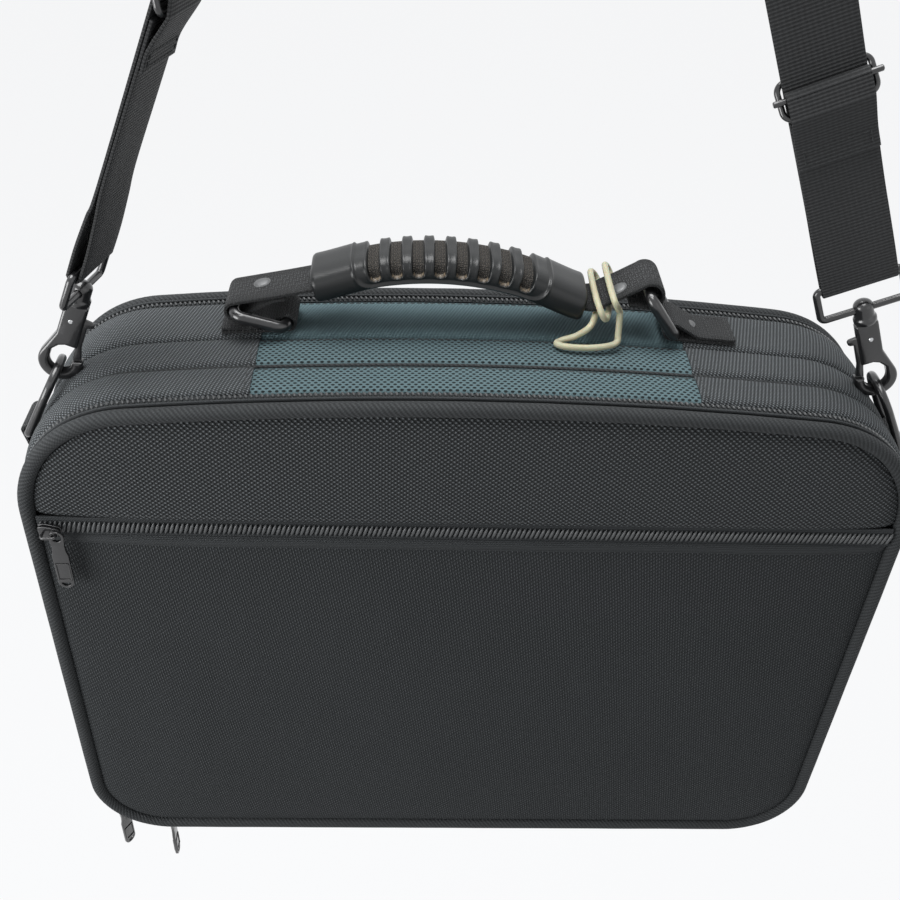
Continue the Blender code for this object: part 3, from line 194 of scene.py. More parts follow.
# Arcs of the side outline
HALF = BAG_WIDTH / 2
CORNER_X = HALF - TOP_CORNER
CROWN_RADIUS = (CORNER_X ** 2 + TOP_CROWN ** 2) / (2 * TOP_CROWN)
CROWN_Z = BAG_HEIGHT - CROWN_RADIUS
CROWN_ANGLE = asin(CORNER_X / (CROWN_RADIUS - TOP_CORNER))
CORNER_Z = CROWN_Z + (CROWN_RADIUS - TOP_CORNER) * cos(CROWN_ANGLE)
TILT = 90.0 - CROWN_ANGLE * 180.0 / pi
PANEL_INSET = 2 * PIPING_RADIUS + CLEAR / 2

# Places along one strap leg, measured up from the side ring's top
RING_BAR_Z = BAG_HEIGHT - SIDE_RING_DROP
RING_BAR_OFF = TOP_CORNER + 2 * CLEAR + SIDE_WEB_THICK + SIDE_WIRE / 2
RING_BAR_ANGLE = asin(max(0.0, RING_BAR_Z - CORNER_Z) / RING_BAR_OFF)
RING_BAR_X = CORNER_X + RING_BAR_OFF * cos(RING_BAR_ANGLE)
RING_TOP_X = RING_BAR_X - SIDE_RING_HEIGHT * sin(RING_LEAN)
RING_TOP_Z = RING_BAR_Z + SIDE_RING_HEIGHT * cos(RING_LEAN)
HANG_CENTRE_Z = HANG_HEIGHT - HANG_RADIUS
HANG_REACH = hypot(RING_TOP_X, HANG_CENTRE_Z - RING_TOP_Z)
LEG_ANGLE = atan2(RING_TOP_X, HANG_CENTRE_Z - RING_TOP_Z) - asin(HANG_RADIUS / HANG_REACH)
LEG_LENGTH = sqrt(HANG_REACH ** 2 - HANG_RADIUS ** 2)
EYE_CENTRE = EYE_RADIUS - SIDE_WIRE / 2 - EYE_SLACK
HEAD_BASE = SHANK_TOP + CLEAR
LOOP_LOW = HEAD_BASE + HEAD_EYE
LOOP_HIGH = LOOP_LOW + LOOP_HEIGHT
TAB_WRAP = HANDLE_WIRE / 2 + RING_SLACK + HANDLE_TAB_THICK / 2

SIDES = (("left", -1), ("right", 1))


# Places on the bag

def crown_height(x, inset=0.0):
    """Height of the crowned top edge at x."""
    return CROWN_Z + sqrt((CROWN_RADIUS - inset) ** 2 - x ** 2)


def side_reach(z, off):
    """Distance of the outline's side from the middle at a height, moved out by off."""
    if z <= CORNER_Z:
        return HALF + off
    return CORNER_X + sqrt((TOP_CORNER + off) ** 2 - (z - CORNER_Z) ** 2)


def polar(centre, radius, angle):
    """Point at an angle in degrees from +x towards +z, in a plane across the bag."""
    x, y, z = centre
    return Vector((x + radius * cos(radians(angle)), y, z + radius * sin(radians(angle))))


def ring_pivot(x):
    """Middle of a handle ring's bar in the tab at x."""
    return Vector((x, HANDLE_Y, crown_height(x) + CLEAR + HANDLE_TAB_THICK / 2 + TAB_WRAP))


LEFT_PIVOT = ring_pivot(-LEFT_TAB_X)
RIGHT_PIVOT = ring_pivot(RIGHT_TAB_X)
LEFT_EYE = polar(LEFT_PIVOT, HANDLE_RING_LENGTH, LEFT_RING_ANGLE)
RIGHT_EYE = polar(RIGHT_PIVOT, HANDLE_RING_LENGTH, RIGHT_RING_ANGLE)


def arc(centre, radius, first, last, steps):
    """Points on an arc in a flat plane, angles in degrees."""
    points = []
    for i in range(steps + 1):
        angle = radians(first + (last - first) * i / steps)
        points.append((centre[0] + radius * cos(angle), centre[1] + radius * sin(angle)))
    return points


def rim(gap=0.0):
    """Places clockwise round the side outline from x = gap on the top edge: point and outward direction."""
    half = []

    def turn(x, z, radius, first, last, steps):
        for i in range(steps + 1):
            angle = radians(first + (last - first) * i / steps)
            out = (cos(angle), sin(angle))
            half.append((x + radius * out[0], z + radius * out[1], *out))

    turn(0.0, CROWN_Z, CROWN_RADIUS, 90.0 - asin(gap / CROWN_RADIUS) * 180.0 / pi, TILT, 40)
    half.pop()
    turn(CORNER_X, CORNER_Z, TOP_CORNER, TILT, 0.0, 22)
    for i in range(1, 30):
        half.append((HALF, CORNER_Z + (BASE_CORNER - CORNER_Z) * i / 30, 1.0, 0.0))
    turn(HALF - BASE_CORNER, BASE_CORNER, BASE_CORNER, 0.0, -90.0, 18)
    for i in range(1, 31):
        half.append(((HALF - BASE_CORNER) * (1.0 - i / 30), 0.0, 0.0, -1.0))
    other = [(-x, z, -out_x, out_z) for x, z, out_x, out_z in half[-2::-1]]
    if gap == 0.0:
        other.pop()
    return half + other


def crown_rim(reach, steps=60):
    """Places along the top edge from -reach to reach."""
    places = []
    for i in range(steps + 1):
        angle = asin((-1.0 + 2.0 * i / steps) * reach / CROWN_RADIUS)
        places.append((CROWN_RADIUS * sin(angle), CROWN_Z + CROWN_RADIUS * cos(angle), sin(angle), cos(angle)))
    return places


def off_rim(place, off, y):
    """Point at a rim place, moved out by off, at a depth."""
    x, z, out_x, out_z = place
    return Vector((x + out_x * off, y, z + out_z * off))


def border_depth(x, z):
    """Distance of a place inside the side outline from its edge."""
    x = abs(x)
    top = Vector((x - CORNER_X, z - CORNER_Z))
    base = Vector((x - HALF + BASE_CORNER, z - BASE_CORNER))
    if top.x > 0.0 and top.y > 0.0 and atan2(top.y, top.x) < radians(TILT):
        return TOP_CORNER - top.length
    if base.x > 0.0 and base.y < 0.0:
        return BASE_CORNER - base.length
    return min(HALF - x, z, CROWN_RADIUS - hypot(x, z - CROWN_Z))


def smooth_run(points, steps):
    """Points of a curve that passes through given points."""
    run = []
    ends = [points[0] * 2 - points[1]] + points + [points[-1] * 2 - points[-2]]
    for a, b, c, d in zip(ends, ends[1:], ends[2:], ends[3:]):
        for i in range(steps):
            t = i / steps
            bend = 2 * b + (c - a) * t + (2 * a - 5 * b + 4 * c - d) * t ** 2
            run.append((bend + (3 * b - a - 3 * c + d) * t ** 3) / 2)
    return run + [points[-1]]


def run_ways(run):
    """Direction of a run at each of its points."""
    last = len(run) - 1
    return [(run[min(i + 1, last)] - run[max(i - 1, 0)]).normalized() for i in range(last + 1)]


def spaced(points, outs, pitch, closed=False):
    """Frames every pitch along a run: along it, across it and out of the surface."""
    if closed:
        points = points + [points[0]]
        outs = outs + [outs[0]]
    frames = []
    wait = pitch / 2
    for a, b, out_a, out_b in zip(points, points[1:], outs, outs[1:]):
        way = b - a
        length = way.length
        while wait < length:
            share = wait / length
            out = out_a.lerp(out_b, share)
            along = way.normalized()
            across = out.cross(along).normalized()
            frames.append(frame_at(a.lerp(b, share), along, across, along.cross(across)))
            wait += pitch
        wait -= length
    return frames


def frame_at(origin, first, second, third):
    """A frame from its origin and three axes."""
    rows = [[first[i], second[i], third[i], origin[i]] for i in range(3)]
    return Matrix(rows + [[0.0, 0.0, 0.0, 1.0]])


def ease(share):
    """A share from 0 to 1 that starts and ends gently."""
    share = max(0.0, min(1.0, share))
    return share * share * (3.0 - 2.0 * share)


# Modelling

def only(obj):
    """Make an object the one that operators act on."""
    bpy.ops.object.select_all(action="DESELECT")
    obj.select_set(True)
    bpy.context.view_layer.objects.active = obj
    return obj


def new_object(data):
    """A working object that is selected."""
    obj = bpy.data.objects.new("working", data)
    bpy.context.scene.collection.objects.link(obj)
    return only(obj)


def all_of(obj):
    """Start editing an object with all of its mesh selected."""
    only(obj)
    bpy.ops.object.mode_set(mode="EDIT")
    bpy.ops.mesh.select_all(action="SELECT")


def done():
    """Stop editing."""
    bpy.ops.object.mode_set(mode="OBJECT")


def settle(obj, name, body, finish, nodes=(), angle=40.0):
    """Weld a finished piece, lower it into the hanging frame, and give it its name, finish and body."""
    all_of(obj)
    bpy.ops.mesh.remove_doubles(threshold=0.000002)
    bpy.ops.mesh.normals_make_consistent(inside=False)
    done()
    obj.data.transform(Matrix.Translation(HANG_DOWN))
    bpy.ops.object.shade_smooth_by_angle(angle=radians(angle))
    obj.name = name
    obj.data.name = name
    obj.data.materials.clear()
    obj.data.materials.append(finish)
    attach(obj, body)
    if nodes:
        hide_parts(*nodes)
    return obj


def skin(rows, ring=True, loop=False):
    """Cloth or webbing through like rows of points, its UV map in metres round and along it."""
    count = len(rows[0])
    middle = rows[len(rows) // 2]
    around = [0.0]
    for j in range(count):
        around.append(around[-1] + (middle[(j + 1) % count] - middle[j]).length)
    centres = [sum(row, Vector()) / count for row in rows]
    along = [0.0]
    for i in range(len(rows)):
        along.append(along[-1] + (centres[(i + 1) % len(rows)] - centres[i]).length)
    faces = []
    places = []
    for i in range(len(rows) if loop else len(rows) - 1):
        n = (i + 1) % len(rows)
        for j in range(count if ring else count - 1):
            k = (j + 1) % count
            faces.append((i * count + j, i * count + k, n * count + k, n * count + j))
            places += [(around[j], along[i]), (around[j + 1], along[i])]
            places += [(around[j + 1], along[i + 1]), (around[j], along[i + 1])]
    if ring and not loop:
        first = list(range(count))
        faces += [first[::-1], [(len(rows) - 1) * count + j for j in first]]
        places += [(around[j], 0.0) for j in first[::-1]] + [(around[j], along[-2]) for j in first]
    mesh = bpy.data.meshes.new("skin")
    mesh.from_pydata([point for row in rows for point in row], [], faces)
    layer = mesh.uv_layers.new(name="Weave")
    layer.data.foreach_set("uv", [value for place in places for value in place])
    return new_object(mesh)


def wire(points, radius, closed=False, resolution=6):
    """Round wire along points."""
    curve = bpy.data.curves.new("wire", "CURVE")
    curve.dimensions = "3D"
    curve.bevel_depth = radius
    curve.bevel_resolution = resolution
    curve.use_fill_caps = not closed
    spline = curve.splines.new("POLY")
    spline.points.add(len(points) - 1)
    for point, place in zip(spline.points, points):
        point.co = (*place, 1.0)
    spline.use_cyclic_u = closed
    new_object(curve)
    bpy.ops.object.convert(target="MESH")
    return bpy.context.active_object


def plate(loops, thickness, edge, matrix):
    """Flat outlines filled and given a thickness and rounded edges, in a frame's first two axes."""
    curve = bpy.data.curves.new("plate", "CURVE")
    curve.dimensions = "2D"
    curve.fill_mode = "BOTH"
    curve.extrude = thickness / 2 - edge
    curve.bevel_depth = edge
    curve.bevel_resolution = 2
    curve.offset = -edge
    for loop in loops:
        spline = curve.splines.new("POLY")
        spline.points.add(len(loop) - 1)
        for point, (u, v) in zip(spline.points, loop):
            point.co = (u, v, 0.0, 1.0)
        spline.use_cyclic_u = True
    new_object(curve)
    bpy.ops.object.convert(target="MESH")
    obj = bpy.context.active_object
    obj.data.transform(matrix)
    all_of(obj)
    bpy.ops.mesh.remove_doubles(threshold=0.000002)
    done()
    return obj


def turned(profile, matrix, steps=32):
    """Profile of radius and height points spun about a frame's third axis."""
    mesh = bpy.data.meshes.new("turned")
    mesh.from_pydata([(r, 0.0, h) for r, h in profile], [(i, i + 1) for i in range(len(profile) - 1)], [])
    obj = new_object(mesh)
    all_of(obj)
    bpy.ops.mesh.spin(steps=steps, angle=2 * pi, center=(0.0, 0.0, 0.0), axis=(0.0, 0.0, 1.0))
    bpy.ops.mesh.select_all(action="SELECT")
    bpy.ops.mesh.remove_doubles(threshold=0.000002)
    bpy.ops.mesh.normals_make_consistent(inside=False)
    done()
    obj.data.transform(matrix)
    return obj


def block(low, high, edge, matrix=Matrix()):
    """Box between two corners with rounded edges, in a frame."""
    low = Vector(low)
    high = Vector(high)
    bpy.ops.object.select_all(action="DESELECT")
    bpy.ops.mesh.primitive_cube_add(size=1.0)
    obj = bpy.context.active_object
    obj.data.transform(Matrix.Translation((low + high) / 2) @ Matrix.Diagonal((*(high - low), 1.0)))
    if edge:
        all_of(obj)
        bpy.ops.mesh.bevel(offset=edge, segments=3, affect="EDGES")
        done()
    obj.data.transform(matrix)
    return obj


def cut(obj, tools, operation="DIFFERENCE"):
    """Cut tools from a piece, or weld them to it."""
    for tool in tools:
        change = obj.modifiers.new("cut", "BOOLEAN")
        change.operation = operation
        change.object = tool
        only(obj)
        bpy.ops.object.modifier_apply(modifier=change.name)
        bpy.data.objects.remove(tool)
    return obj


def joined(objs):
    """Several working objects as one."""
    bpy.ops.object.select_all(action="DESELECT")
    for obj in objs:
        obj.select_set(True)
    bpy.context.view_layer.objects.active = objs[0]
    bpy.ops.object.join()
    return bpy.context.active_object


def thickened(obj, thickness):
    """Give a sheet its thickness, inwards from its face."""
    only(obj)
    wall = obj.modifiers.new("wall", "SOLIDIFY")
    wall.thickness = thickness
    wall.offset = -1.0
    bpy.ops.object.modifier_apply(modifier=wall.name)
    return obj


def bead(along, across, out, segments=6, rings=5):
    """A small rounded model, as its points and faces, for stitches and zip teeth."""
    bpy.ops.object.select_all(action="DESELECT")
    bpy.ops.mesh.primitive_uv_sphere_add(segments=segments, ring_count=rings, radius=1.0)
    obj = bpy.context.active_object
    obj.data.transform(Matrix.Diagonal((across, out, along, 1.0)))
    obj.data.transform(frame_at((0, 0, 0), (0, 1, 0), (0, 0, 1), (1, 0, 0)))
    model = ([v.co.copy() for v in obj.data.vertices], [tuple(f.vertices) for f in obj.data.polygons])
    bpy.data.objects.remove(obj)
    return model


def copies(model, frames):
    """One working object with a copy of a small model at each frame."""
    points, faces = model
    all_points = []
    all_faces = []
    for place in frames:
        start = len(all_points)
        all_points += [place @ point for point in points]
        all_faces += [[start + i for i in face] for face in faces]
    mesh = bpy.data.meshes.new("copies")
    mesh.from_pydata(all_points, [], all_faces)
    return new_object(mesh)


def stitches(frames, sizes):
    """A row of lockstitches."""
    return copies(bead(sizes.stitch_length / 2, 0.00032, 0.00026), frames)


# Finishes

class Signal:
    """A value in a finish's nodes. Arithmetic on it adds Math nodes."""

    def __init__(self, finish, socket):
        self.finish = finish
        self.socket = socket

    def maths(self, operation, *values):
        return self.finish.node("ShaderNodeMath", {"operation": operation}, dict(enumerate(values)))

    def __add__(self, other):
        return self.maths("ADD", self, other)

    def __sub__(self, other):
        return self.maths("SUBTRACT", self, other)

    def __rsub__(self, other):
        return self.maths("SUBTRACT", other, self)

    def __mul__(self, other):
        return self.maths("MULTIPLY", self, other)

    def __truediv__(self, other):
        return self.maths("DIVIDE", self, other)

    def __mod__(self, other):
        return self.maths("FLOORED_MODULO", self, other)

    __radd__ = __add__
    __rmul__ = __mul__

    def wave(self, pitch):
        """From 0 to 1 and back once each pitch."""
        return self.maths("SINE", self * (2 * pi / pitch)) * 0.5 + 0.5

    def root(self):
        return self.maths("SQRT", self)

    def floor(self):
        return self.maths("FLOOR", self)

    def between(self, low, high):
        """Share of the way from low to high, eased and held from 0 to 1."""
        settings = {"interpolation_type": "SMOOTHSTEP"}
        return self.finish.node("ShaderNodeMapRange", settings, {"Value": self, "From Min": low, "From Max": high})


class Finish:
    """A procedural material under construction."""

    def __init__(self, name, **constants):
        self.material = bpy.data.materials.new(name)
        self.material.use_nodes = True
        self.tree = self.material.node_tree
        self.shader = self.tree.nodes["Principled BSDF"]
        for socket, value in constants.items():
            self.shader.inputs[socket.replace("_", " ").title().replace("Ior", "IOR")].default_value = value

    def feed(self, socket, value):
        if isinstance(value, Signal):
            self.tree.links.new(value.socket, socket)
        else:
            socket.default_value = value

    def node(self, kind, settings=None, sockets=None, output=0):
        """Any node: its type, its settings, then the values or links of its sockets."""
        made = self.tree.nodes.new(kind)
        for key, value in (settings or {}).items():
            setattr(made, key, value)
        for key, value in (sockets or {}).items():
            self.feed(made.inputs[key], value)
        return Signal(self, made.outputs[output])

    def places(self, kind="UV"):
        """Three signals of a coordinate: UV or Object."""
        vector = self.node("ShaderNodeTexCoord", output=kind)
        return [self.node("ShaderNodeSeparateXYZ", sockets={0: vector}, output=i) for i in range(3)]

    def mottle(self, scale, detail=3.0, stretch=(1.0, 1.0, 1.0)):
        """Noise over the piece, from 0 to 1."""
        place = self.node("ShaderNodeTexCoord", output="Object")
        place = self.node("ShaderNodeMapping", sockets={"Vector": place, "Scale": stretch})
        return self.node("ShaderNodeTexNoise", sockets={"Vector": place, "Scale": scale, "Detail": detail})

    def attribute(self, name):
        return self.node("ShaderNodeAttribute", {"attribute_name": name}, output="Fac")

    def mix(self, share, low, high):
        """Colour between two colours."""
        sockets = {0: share, 6: low, 7: high}
        return self.node("ShaderNodeMix", {"data_type": "RGBA"}, sockets, output=2)

    def colour(self, value):
        self.feed(self.shader.inputs["Base Color"], value)

    def roughness(self, value):
        self.feed(self.shader.inputs["Roughness"], value)

    def relief(self, height, depth, strength=1.0):
        bump = self.node("ShaderNodeBump", sockets={"Height": height, "Distance": depth, "Strength": strength})
        self.feed(self.shader.inputs["Normal"], bump)


def tone(colour, level):
    """A colour made lighter or darker."""
    return (*(channel * level for channel in colour), 1.0)


def ballistic_nylon(colour, pitch):
    """Coarse nylon whose crossing yarns show as staggered rows of raised dots."""
    finish = Finish("ballistic_cloth", specular_ior_level=0.22)
    x, _, z = finish.places("Object")
    drift = finish.mottle(60.0, 1.0) * 0.0007
    across = (x + drift).wave(pitch) - 0.5
    up = (z + drift).wave(pitch * 0.82) - 0.5
    dots = across * up * 2.0 + 0.5
    fibres = finish.mottle(1500.0, 2.0)
    worn = finish.mottle(14.0, 4.0)
    lit = dots.between(0.5, 0.92) * (0.55 + fibres * 0.9)
    ground = finish.mix(worn, tone(colour, 0.4), tone(colour, 0.65))
    finish.colour(finish.mix(lit, ground, tone(colour, 4.0)))
    finish.roughness(0.85 - dots * 0.4)
    finish.relief(dots + fibres * 0.25, 0.0010)
    return finish.material


def pocket_nylon(colour, pitch):
    """Finer nylon of the pocket, its dots in slanting rows."""
    finish = Finish("pocket_cloth", specular_ior_level=0.2)
    x, _, z = finish.places("Object")
    drift = finish.mottle(60.0, 1.0) * 0.0007
    dots = (x + z * 0.145 + drift).wave(pitch * 0.7) * (x * 0.66 - z * 0.75 + drift).wave(pitch)
    fibres = finish.mottle(1500.0, 2.0)
    worn = finish.mottle(12.0, 4.0)
    scuffs = finish.mottle(38.0, 5.0, (1.0, 1.0, 0.6)).between(0.6, 0.8)
    lit = dots.between(0.15, 0.8) * (0.6 + fibres * 0.8)
    ground = finish.mix(worn, tone(colour, 0.55), tone(colour, 0.85))
    cloth = finish.mix(lit, ground, tone(colour, 2.0))
    finish.colour(finish.mix(scuffs * 0.12, cloth, tone(colour, 2.0)))
    finish.roughness(0.88 - dots * 0.3)
    finish.relief(dots + fibres * 0.2, 0.0005)
    return finish.material


def side_nylon(colour, pitch):
    """The gusset's nylon, with a slanting weave."""
    finish = Finish("gusset_cloth", specular_ior_level=0.22)
    u, v, _ = finish.places()
    across = (v + u * 0.6).wave(pitch) - 0.5
    up = (u - v * 0.15).wave(pitch * 1.1) - 0.5
    dots = across * up * 2.0 + 0.5
    fibres = finish.mottle(1500.0, 2.0)
    worn = finish.mottle(20.0, 4.0)
    lit = dots.between(0.45, 0.95) * (0.55 + fibres * 0.9)
    ground = finish.mix(worn, tone(colour, 0.8), tone(colour, 1.3))
    finish.colour(finish.mix(lit, ground, tone(colour, 5.2)))
    finish.roughness(0.86 - dots * 0.22)
    finish.relief(dots + fibres * 0.25, 0.0005)
    return finish.material


def open_mesh(colour, pitch):
    """Knitted mesh with rows of staggered oval holes, the holes painted near black as the shade inside them."""
    finish = Finish("spacer_mesh", specular_ior_level=0.3)
    u, v, _ = finish.places()
    row = (u / (pitch * 0.56)).floor()
    cell_u = (u / (pitch * 0.56)) % 1.0 - 0.5
    cell_v = (v / pitch + row * 0.5) % 1.0 - 0.5
    away = (cell_u * cell_u * 1.5 + cell_v * cell_v * 2.6).root()
    yarn = away.between(0.30, 0.52)
    fibres = finish.mottle(2200.0, 2.0)
    worn = finish.mottle(30.0, 4.0)
    cloth = finish.mix(fibres, tone(colour, 0.75), tone(colour, 1.25))
    cloth = finish.mix(worn * 0.4, cloth, tone(colour, 0.7))
    # painted shade: the holes are coloured near black for the shadow inside them
    finish.colour(finish.mix(yarn, tone(colour, 0.10), cloth))
    finish.roughness(0.9 - yarn * 0.1)
    finish.relief(yarn + fibres * 0.15, 0.0007)
    return finish.material


def fine_knit(colour, pitch):
    """Smooth knitted cloth with fine slanting ribs."""
    finish = Finish("fine_knit", specular_ior_level=0.3)
    u, v, _ = finish.places()
    ribs = (v - u * 0.45).wave(pitch) * 0.6 + u.wave(pitch * 0.6) * 0.4
    fibres = finish.mottle(2200.0, 2.0)
    worn = finish.mottle(14.0, 4.0)
    cloth = finish.mix(ribs * 0.7 + fibres * 0.3, tone(colour, 0.6), tone(colour, 1.5))
    finish.colour(finish.mix(worn * 0.4, cloth, tone(colour, 0.85)))
    finish.roughness(0.88 - ribs * 0.1)
    finish.relief(ribs + fibres * 0.4, 0.0004)
    return finish.material


def twill(colour, pitch, name="twill_cover"):
    """Bias-cut cover of the piping, with slanting ridges."""
    finish = Finish(name, specular_ior_level=0.35)
    u, v, _ = finish.places()
    ridges = (v + u * 0.8).wave(pitch)
    yarns = (v * 0.8 - u).wave(pitch * 0.6)
    fibres = finish.mottle(2400.0, 2.0)
    worn = finish.mottle(24.0, 4.0)
    cloth = finish.mix(ridges * (0.6 + yarns * 0.4) * (0.7 + fibres * 0.6), tone(colour, 0.55), tone(colour, 1.25))
    finish.colour(finish.mix(worn * 0.35, cloth, tone(colour, 0.9)))
    finish.roughness(0.85 - ridges * 0.15)
    finish.relief(ridges + yarns * 0.4 + fibres * 0.3, 0.0002)
    return finish.material


def zip_tape(colour):
    """Woven zip tape with ribs along its length."""
    finish = Finish("zip_tape", specular_ior_level=0.3)
    u, v, _ = finish.places()
    ribs = u.wave(0.0011)
    knots = (v + u * 0.9).wave(0.0013)
    fibres = finish.mottle(2400.0, 2.0)
    cloth = finish.mix(ribs * 0.5 + knots * 0.3 + fibres * 0.2, tone(colour, 0.5), tone(colour, 1.5))
    finish.colour(cloth)
    finish.roughness(0.9 - ribs * 0.1)
    finish.relief(ribs * 0.6 + knots * 0.4, 0.00025)
    return finish.material


def lining(colour):
    """Plain lining cloth, its colour lighter and darker with painted light and shade that follow its soft folds."""
    finish = Finish("lining_weave", specular_ior_level=0.35)
    x, _, z = finish.places("Object")
    weave = x.wave(0.0009) * 0.5 + z.wave(0.0009) * 0.5
    folds = finish.mottle(18.0, 3.0, (1.0, 1.0, 0.4))
    # painted light and shade: the colour follows the fold noise, lighter on the folds' crowns and darker in their
    # hollows
    finish.colour(finish.mix(weave * 0.6 + folds * 0.4, tone(colour, 0.6), tone(colour, 1.3)))
    finish.roughness(0.8 + folds * 0.15)
    finish.relief(weave * 0.3 + folds, 0.0004)
    return finish.material


def ribbed_webbing(colour, pitch):
    """Strap webbing with ribs across it and a tighter selvedge."""
    finish = Finish("strap_webbing", specular_ior_level=0.4)
    u, v, _ = finish.places()
    ribs = v.wave(pitch)
    yarns = u.wave(pitch * 1.5)
    slant = (v + u * 0.5).wave(pitch * 2.0)
    fibres = finish.mottle(2600.0, 2.0)
    worn = finish.mottle(22.0, 4.0)
    lit = ribs * 0.55 + yarns * 0.2 + slant * 0.1 + fibres * 0.25
    cloth = finish.mix(lit, tone(colour, 0.3), tone(colour, 1.7))
    finish.colour(finish.mix(worn * 0.35, cloth, tone(colour, 0.8)))
    finish.roughness(0.82 - ribs * 0.18)
    finish.relief(ribs + yarns * 0.4 + fibres * 0.3, 0.0003)
    return finish.material


def basket_webbing(colour, dust, pitch):
    """Handle webbing in a basket weave of short crossing yarns, dusty where it shows in the grip's slots."""
    finish = Finish("handle_weave", specular_ior_level=0.4)
    u, v, _ = finish.places()
    over = (u.wave(pitch * 2.0) - 0.5) * (v.wave(pitch * 2.0) - 0.5)
    over = over.between(-0.06, 0.06)
    warp = u.wave(pitch * 0.5) * v.wave(pitch)
    weft = v.wave(pitch * 0.5) * u.wave(pitch)
    yarns = over * warp + (1.0 - over) * weft
    fibres = finish.mottle(2600.0, 2.0)
    worn = finish.mottle(26.0, 4.0)
    cloth = finish.mix(yarns * (0.7 + fibres * 0.6), tone(colour, 0.45), tone(colour, 4.2))
    cloth = finish.mix(worn * 0.25, cloth, tone(colour, 1.2))
    finish.colour(finish.mix(finish.attribute("dust") * (0.06 + yarns * 0.5), cloth, tone(dust, 0.7)))
    finish.roughness(0.84 - yarns * 0.15)
    finish.relief(yarns + over * 0.3 + fibres * 0.2, 0.0006)
    return finish.material


def thread(colour):
    """Twisted sewing thread."""
    finish = Finish("thread", specular_ior_level=0.4)
    twist = finish.mottle(2600.0, 2.0)
    finish.colour(finish.mix(twist, tone(colour, 0.6), tone(colour, 1.5)))
    finish.roughness(0.8 - twist * 0.2)
    finish.relief(twist, 0.0001)
    return finish.material


def coil_nylon(colour):
    """Hard nylon of the zip's teeth."""
    finish = Finish("coil_nylon", specular_ior_level=0.5)
    worn = finish.mottle(400.0, 3.0)
    finish.colour(finish.mix(worn, tone(colour, 0.7), tone(colour, 1.4)))
    finish.roughness(0.5 - worn * 0.15)
    finish.relief(worn, 0.0001)
    return finish.material


def moulded_rubber(colour, dust):
    """Satin rubber with a fine tooth, and pale dust where the slots collect it."""
    finish = Finish("satin_rubber", specular_ior_level=0.45)
    tooth = finish.mottle(1500.0, 3.0)
    handled = finish.mottle(35.0, 4.0)
    rubber = finish.mix(handled, tone(colour, 0.7), tone(colour, 1.35))
    grime = finish.attribute("dust") * (0.45 + finish.mottle(500.0, 3.0) * 0.8)
    finish.colour(finish.mix(grime.between(0.1, 0.9), rubber, tone(dust, 1.0)))
    finish.roughness(0.27 + handled * 0.12 + tooth * 0.06)
    finish.relief(tooth, 0.00006)
    return finish.material


def black_enamel(colour):
    """Painted metal, its paint rubbed thin in places, the lighter patches partly a painted reflection."""
    finish = Finish("black_enamel", specular_ior_level=0.5, coat_weight=0.6, coat_roughness=0.1)
    orange_peel = finish.mottle(900.0, 2.0)
    # lighter patches: partly paint rubbed thin, partly a painted reflection on the hook body
    rubbed_and_reflection = finish.mottle(220.0, 4.0).between(0.60, 0.74)
    finish.colour(finish.mix(rubbed_and_reflection * 0.6, tone(colour, 1.0), tone(colour, 3.0)))
    finish.roughness(0.26 + rubbed_and_reflection * 0.2 + orange_peel * 0.06)
    finish.relief(orange_peel, 0.00005)
    return finish.material


def bright_metal(colour, name, roughness):
    """Bare metal with fine scratches."""
    finish = Finish(name, metallic=1.0)
    scratches = finish.mottle(700.0, 4.0, (0.2, 1.0, 1.0))
    finish.colour(finish.mix(scratches, tone(colour, 0.75), tone(colour, 1.1)))
    finish.roughness(roughness + scratches * 0.15)
    finish.relief(scratches, 0.00003)
    return finish.material


def soft_plastic(colour):
    """Milky soft plastic tube."""
    finish = Finish("milky_plastic", specular_ior_level=0.5, subsurface_weight=0.25, subsurface_scale=0.002)
    cloud = finish.mottle(300.0, 3.0)
    finish.colour(finish.mix(cloud, tone(colour, 0.85), tone(colour, 1.08)))
    finish.roughness(0.36 + cloud * 0.15)
    finish.relief(cloud, 0.00008)
    return finish.material


FINISHES = {}


def make_finishes(colours, sizes):
    """Build every finish once."""
    FINISHES["ballistic"] = ballistic_nylon(colours.nylon, sizes.weave_pitch)
    FINISHES["pocket"] = pocket_nylon(colours.nylon, sizes.pocket_pitch)
    FINISHES["gusset"] = side_nylon(colours.nylon, sizes.gusset_pitch)
    FINISHES["mesh"] = open_mesh(colours.teal, sizes.mesh_pitch)
    FINISHES["knit"] = fine_knit(colours.teal, sizes.knit_pitch)
    FINISHES["twill"] = twill(colours.nylon, sizes.twill_pitch)
    FINISHES["tape"] = zip_tape(colours.nylon)
    FINISHES["lining"] = lining(colours.lining)
    FINISHES["strap"] = ribbed_webbing(colours.webbing, sizes.strap_rib)
    FINISHES["basket"] = basket_webbing(colours.webbing, colours.dust, sizes.basket_pitch)
    FINISHES["thread"] = thread(colours.thread)
    FINISHES["coil"] = coil_nylon(colours.coil)
    FINISHES["rubber"] = moulded_rubber(colours.rubber, colours.dust)
    FINISHES["enamel"] = black_enamel(colours.metal)
    FINISHES["steel"] = bright_metal(colours.steel, "bright_steel_wire", 0.25)
    FINISHES["rivet"] = bright_metal(tone(colours.steel, 0.3)[:3], "dull_rivet", 0.5)
    FINISHES["plastic"] = soft_plastic(colours.tag)


# Sheets of the bag

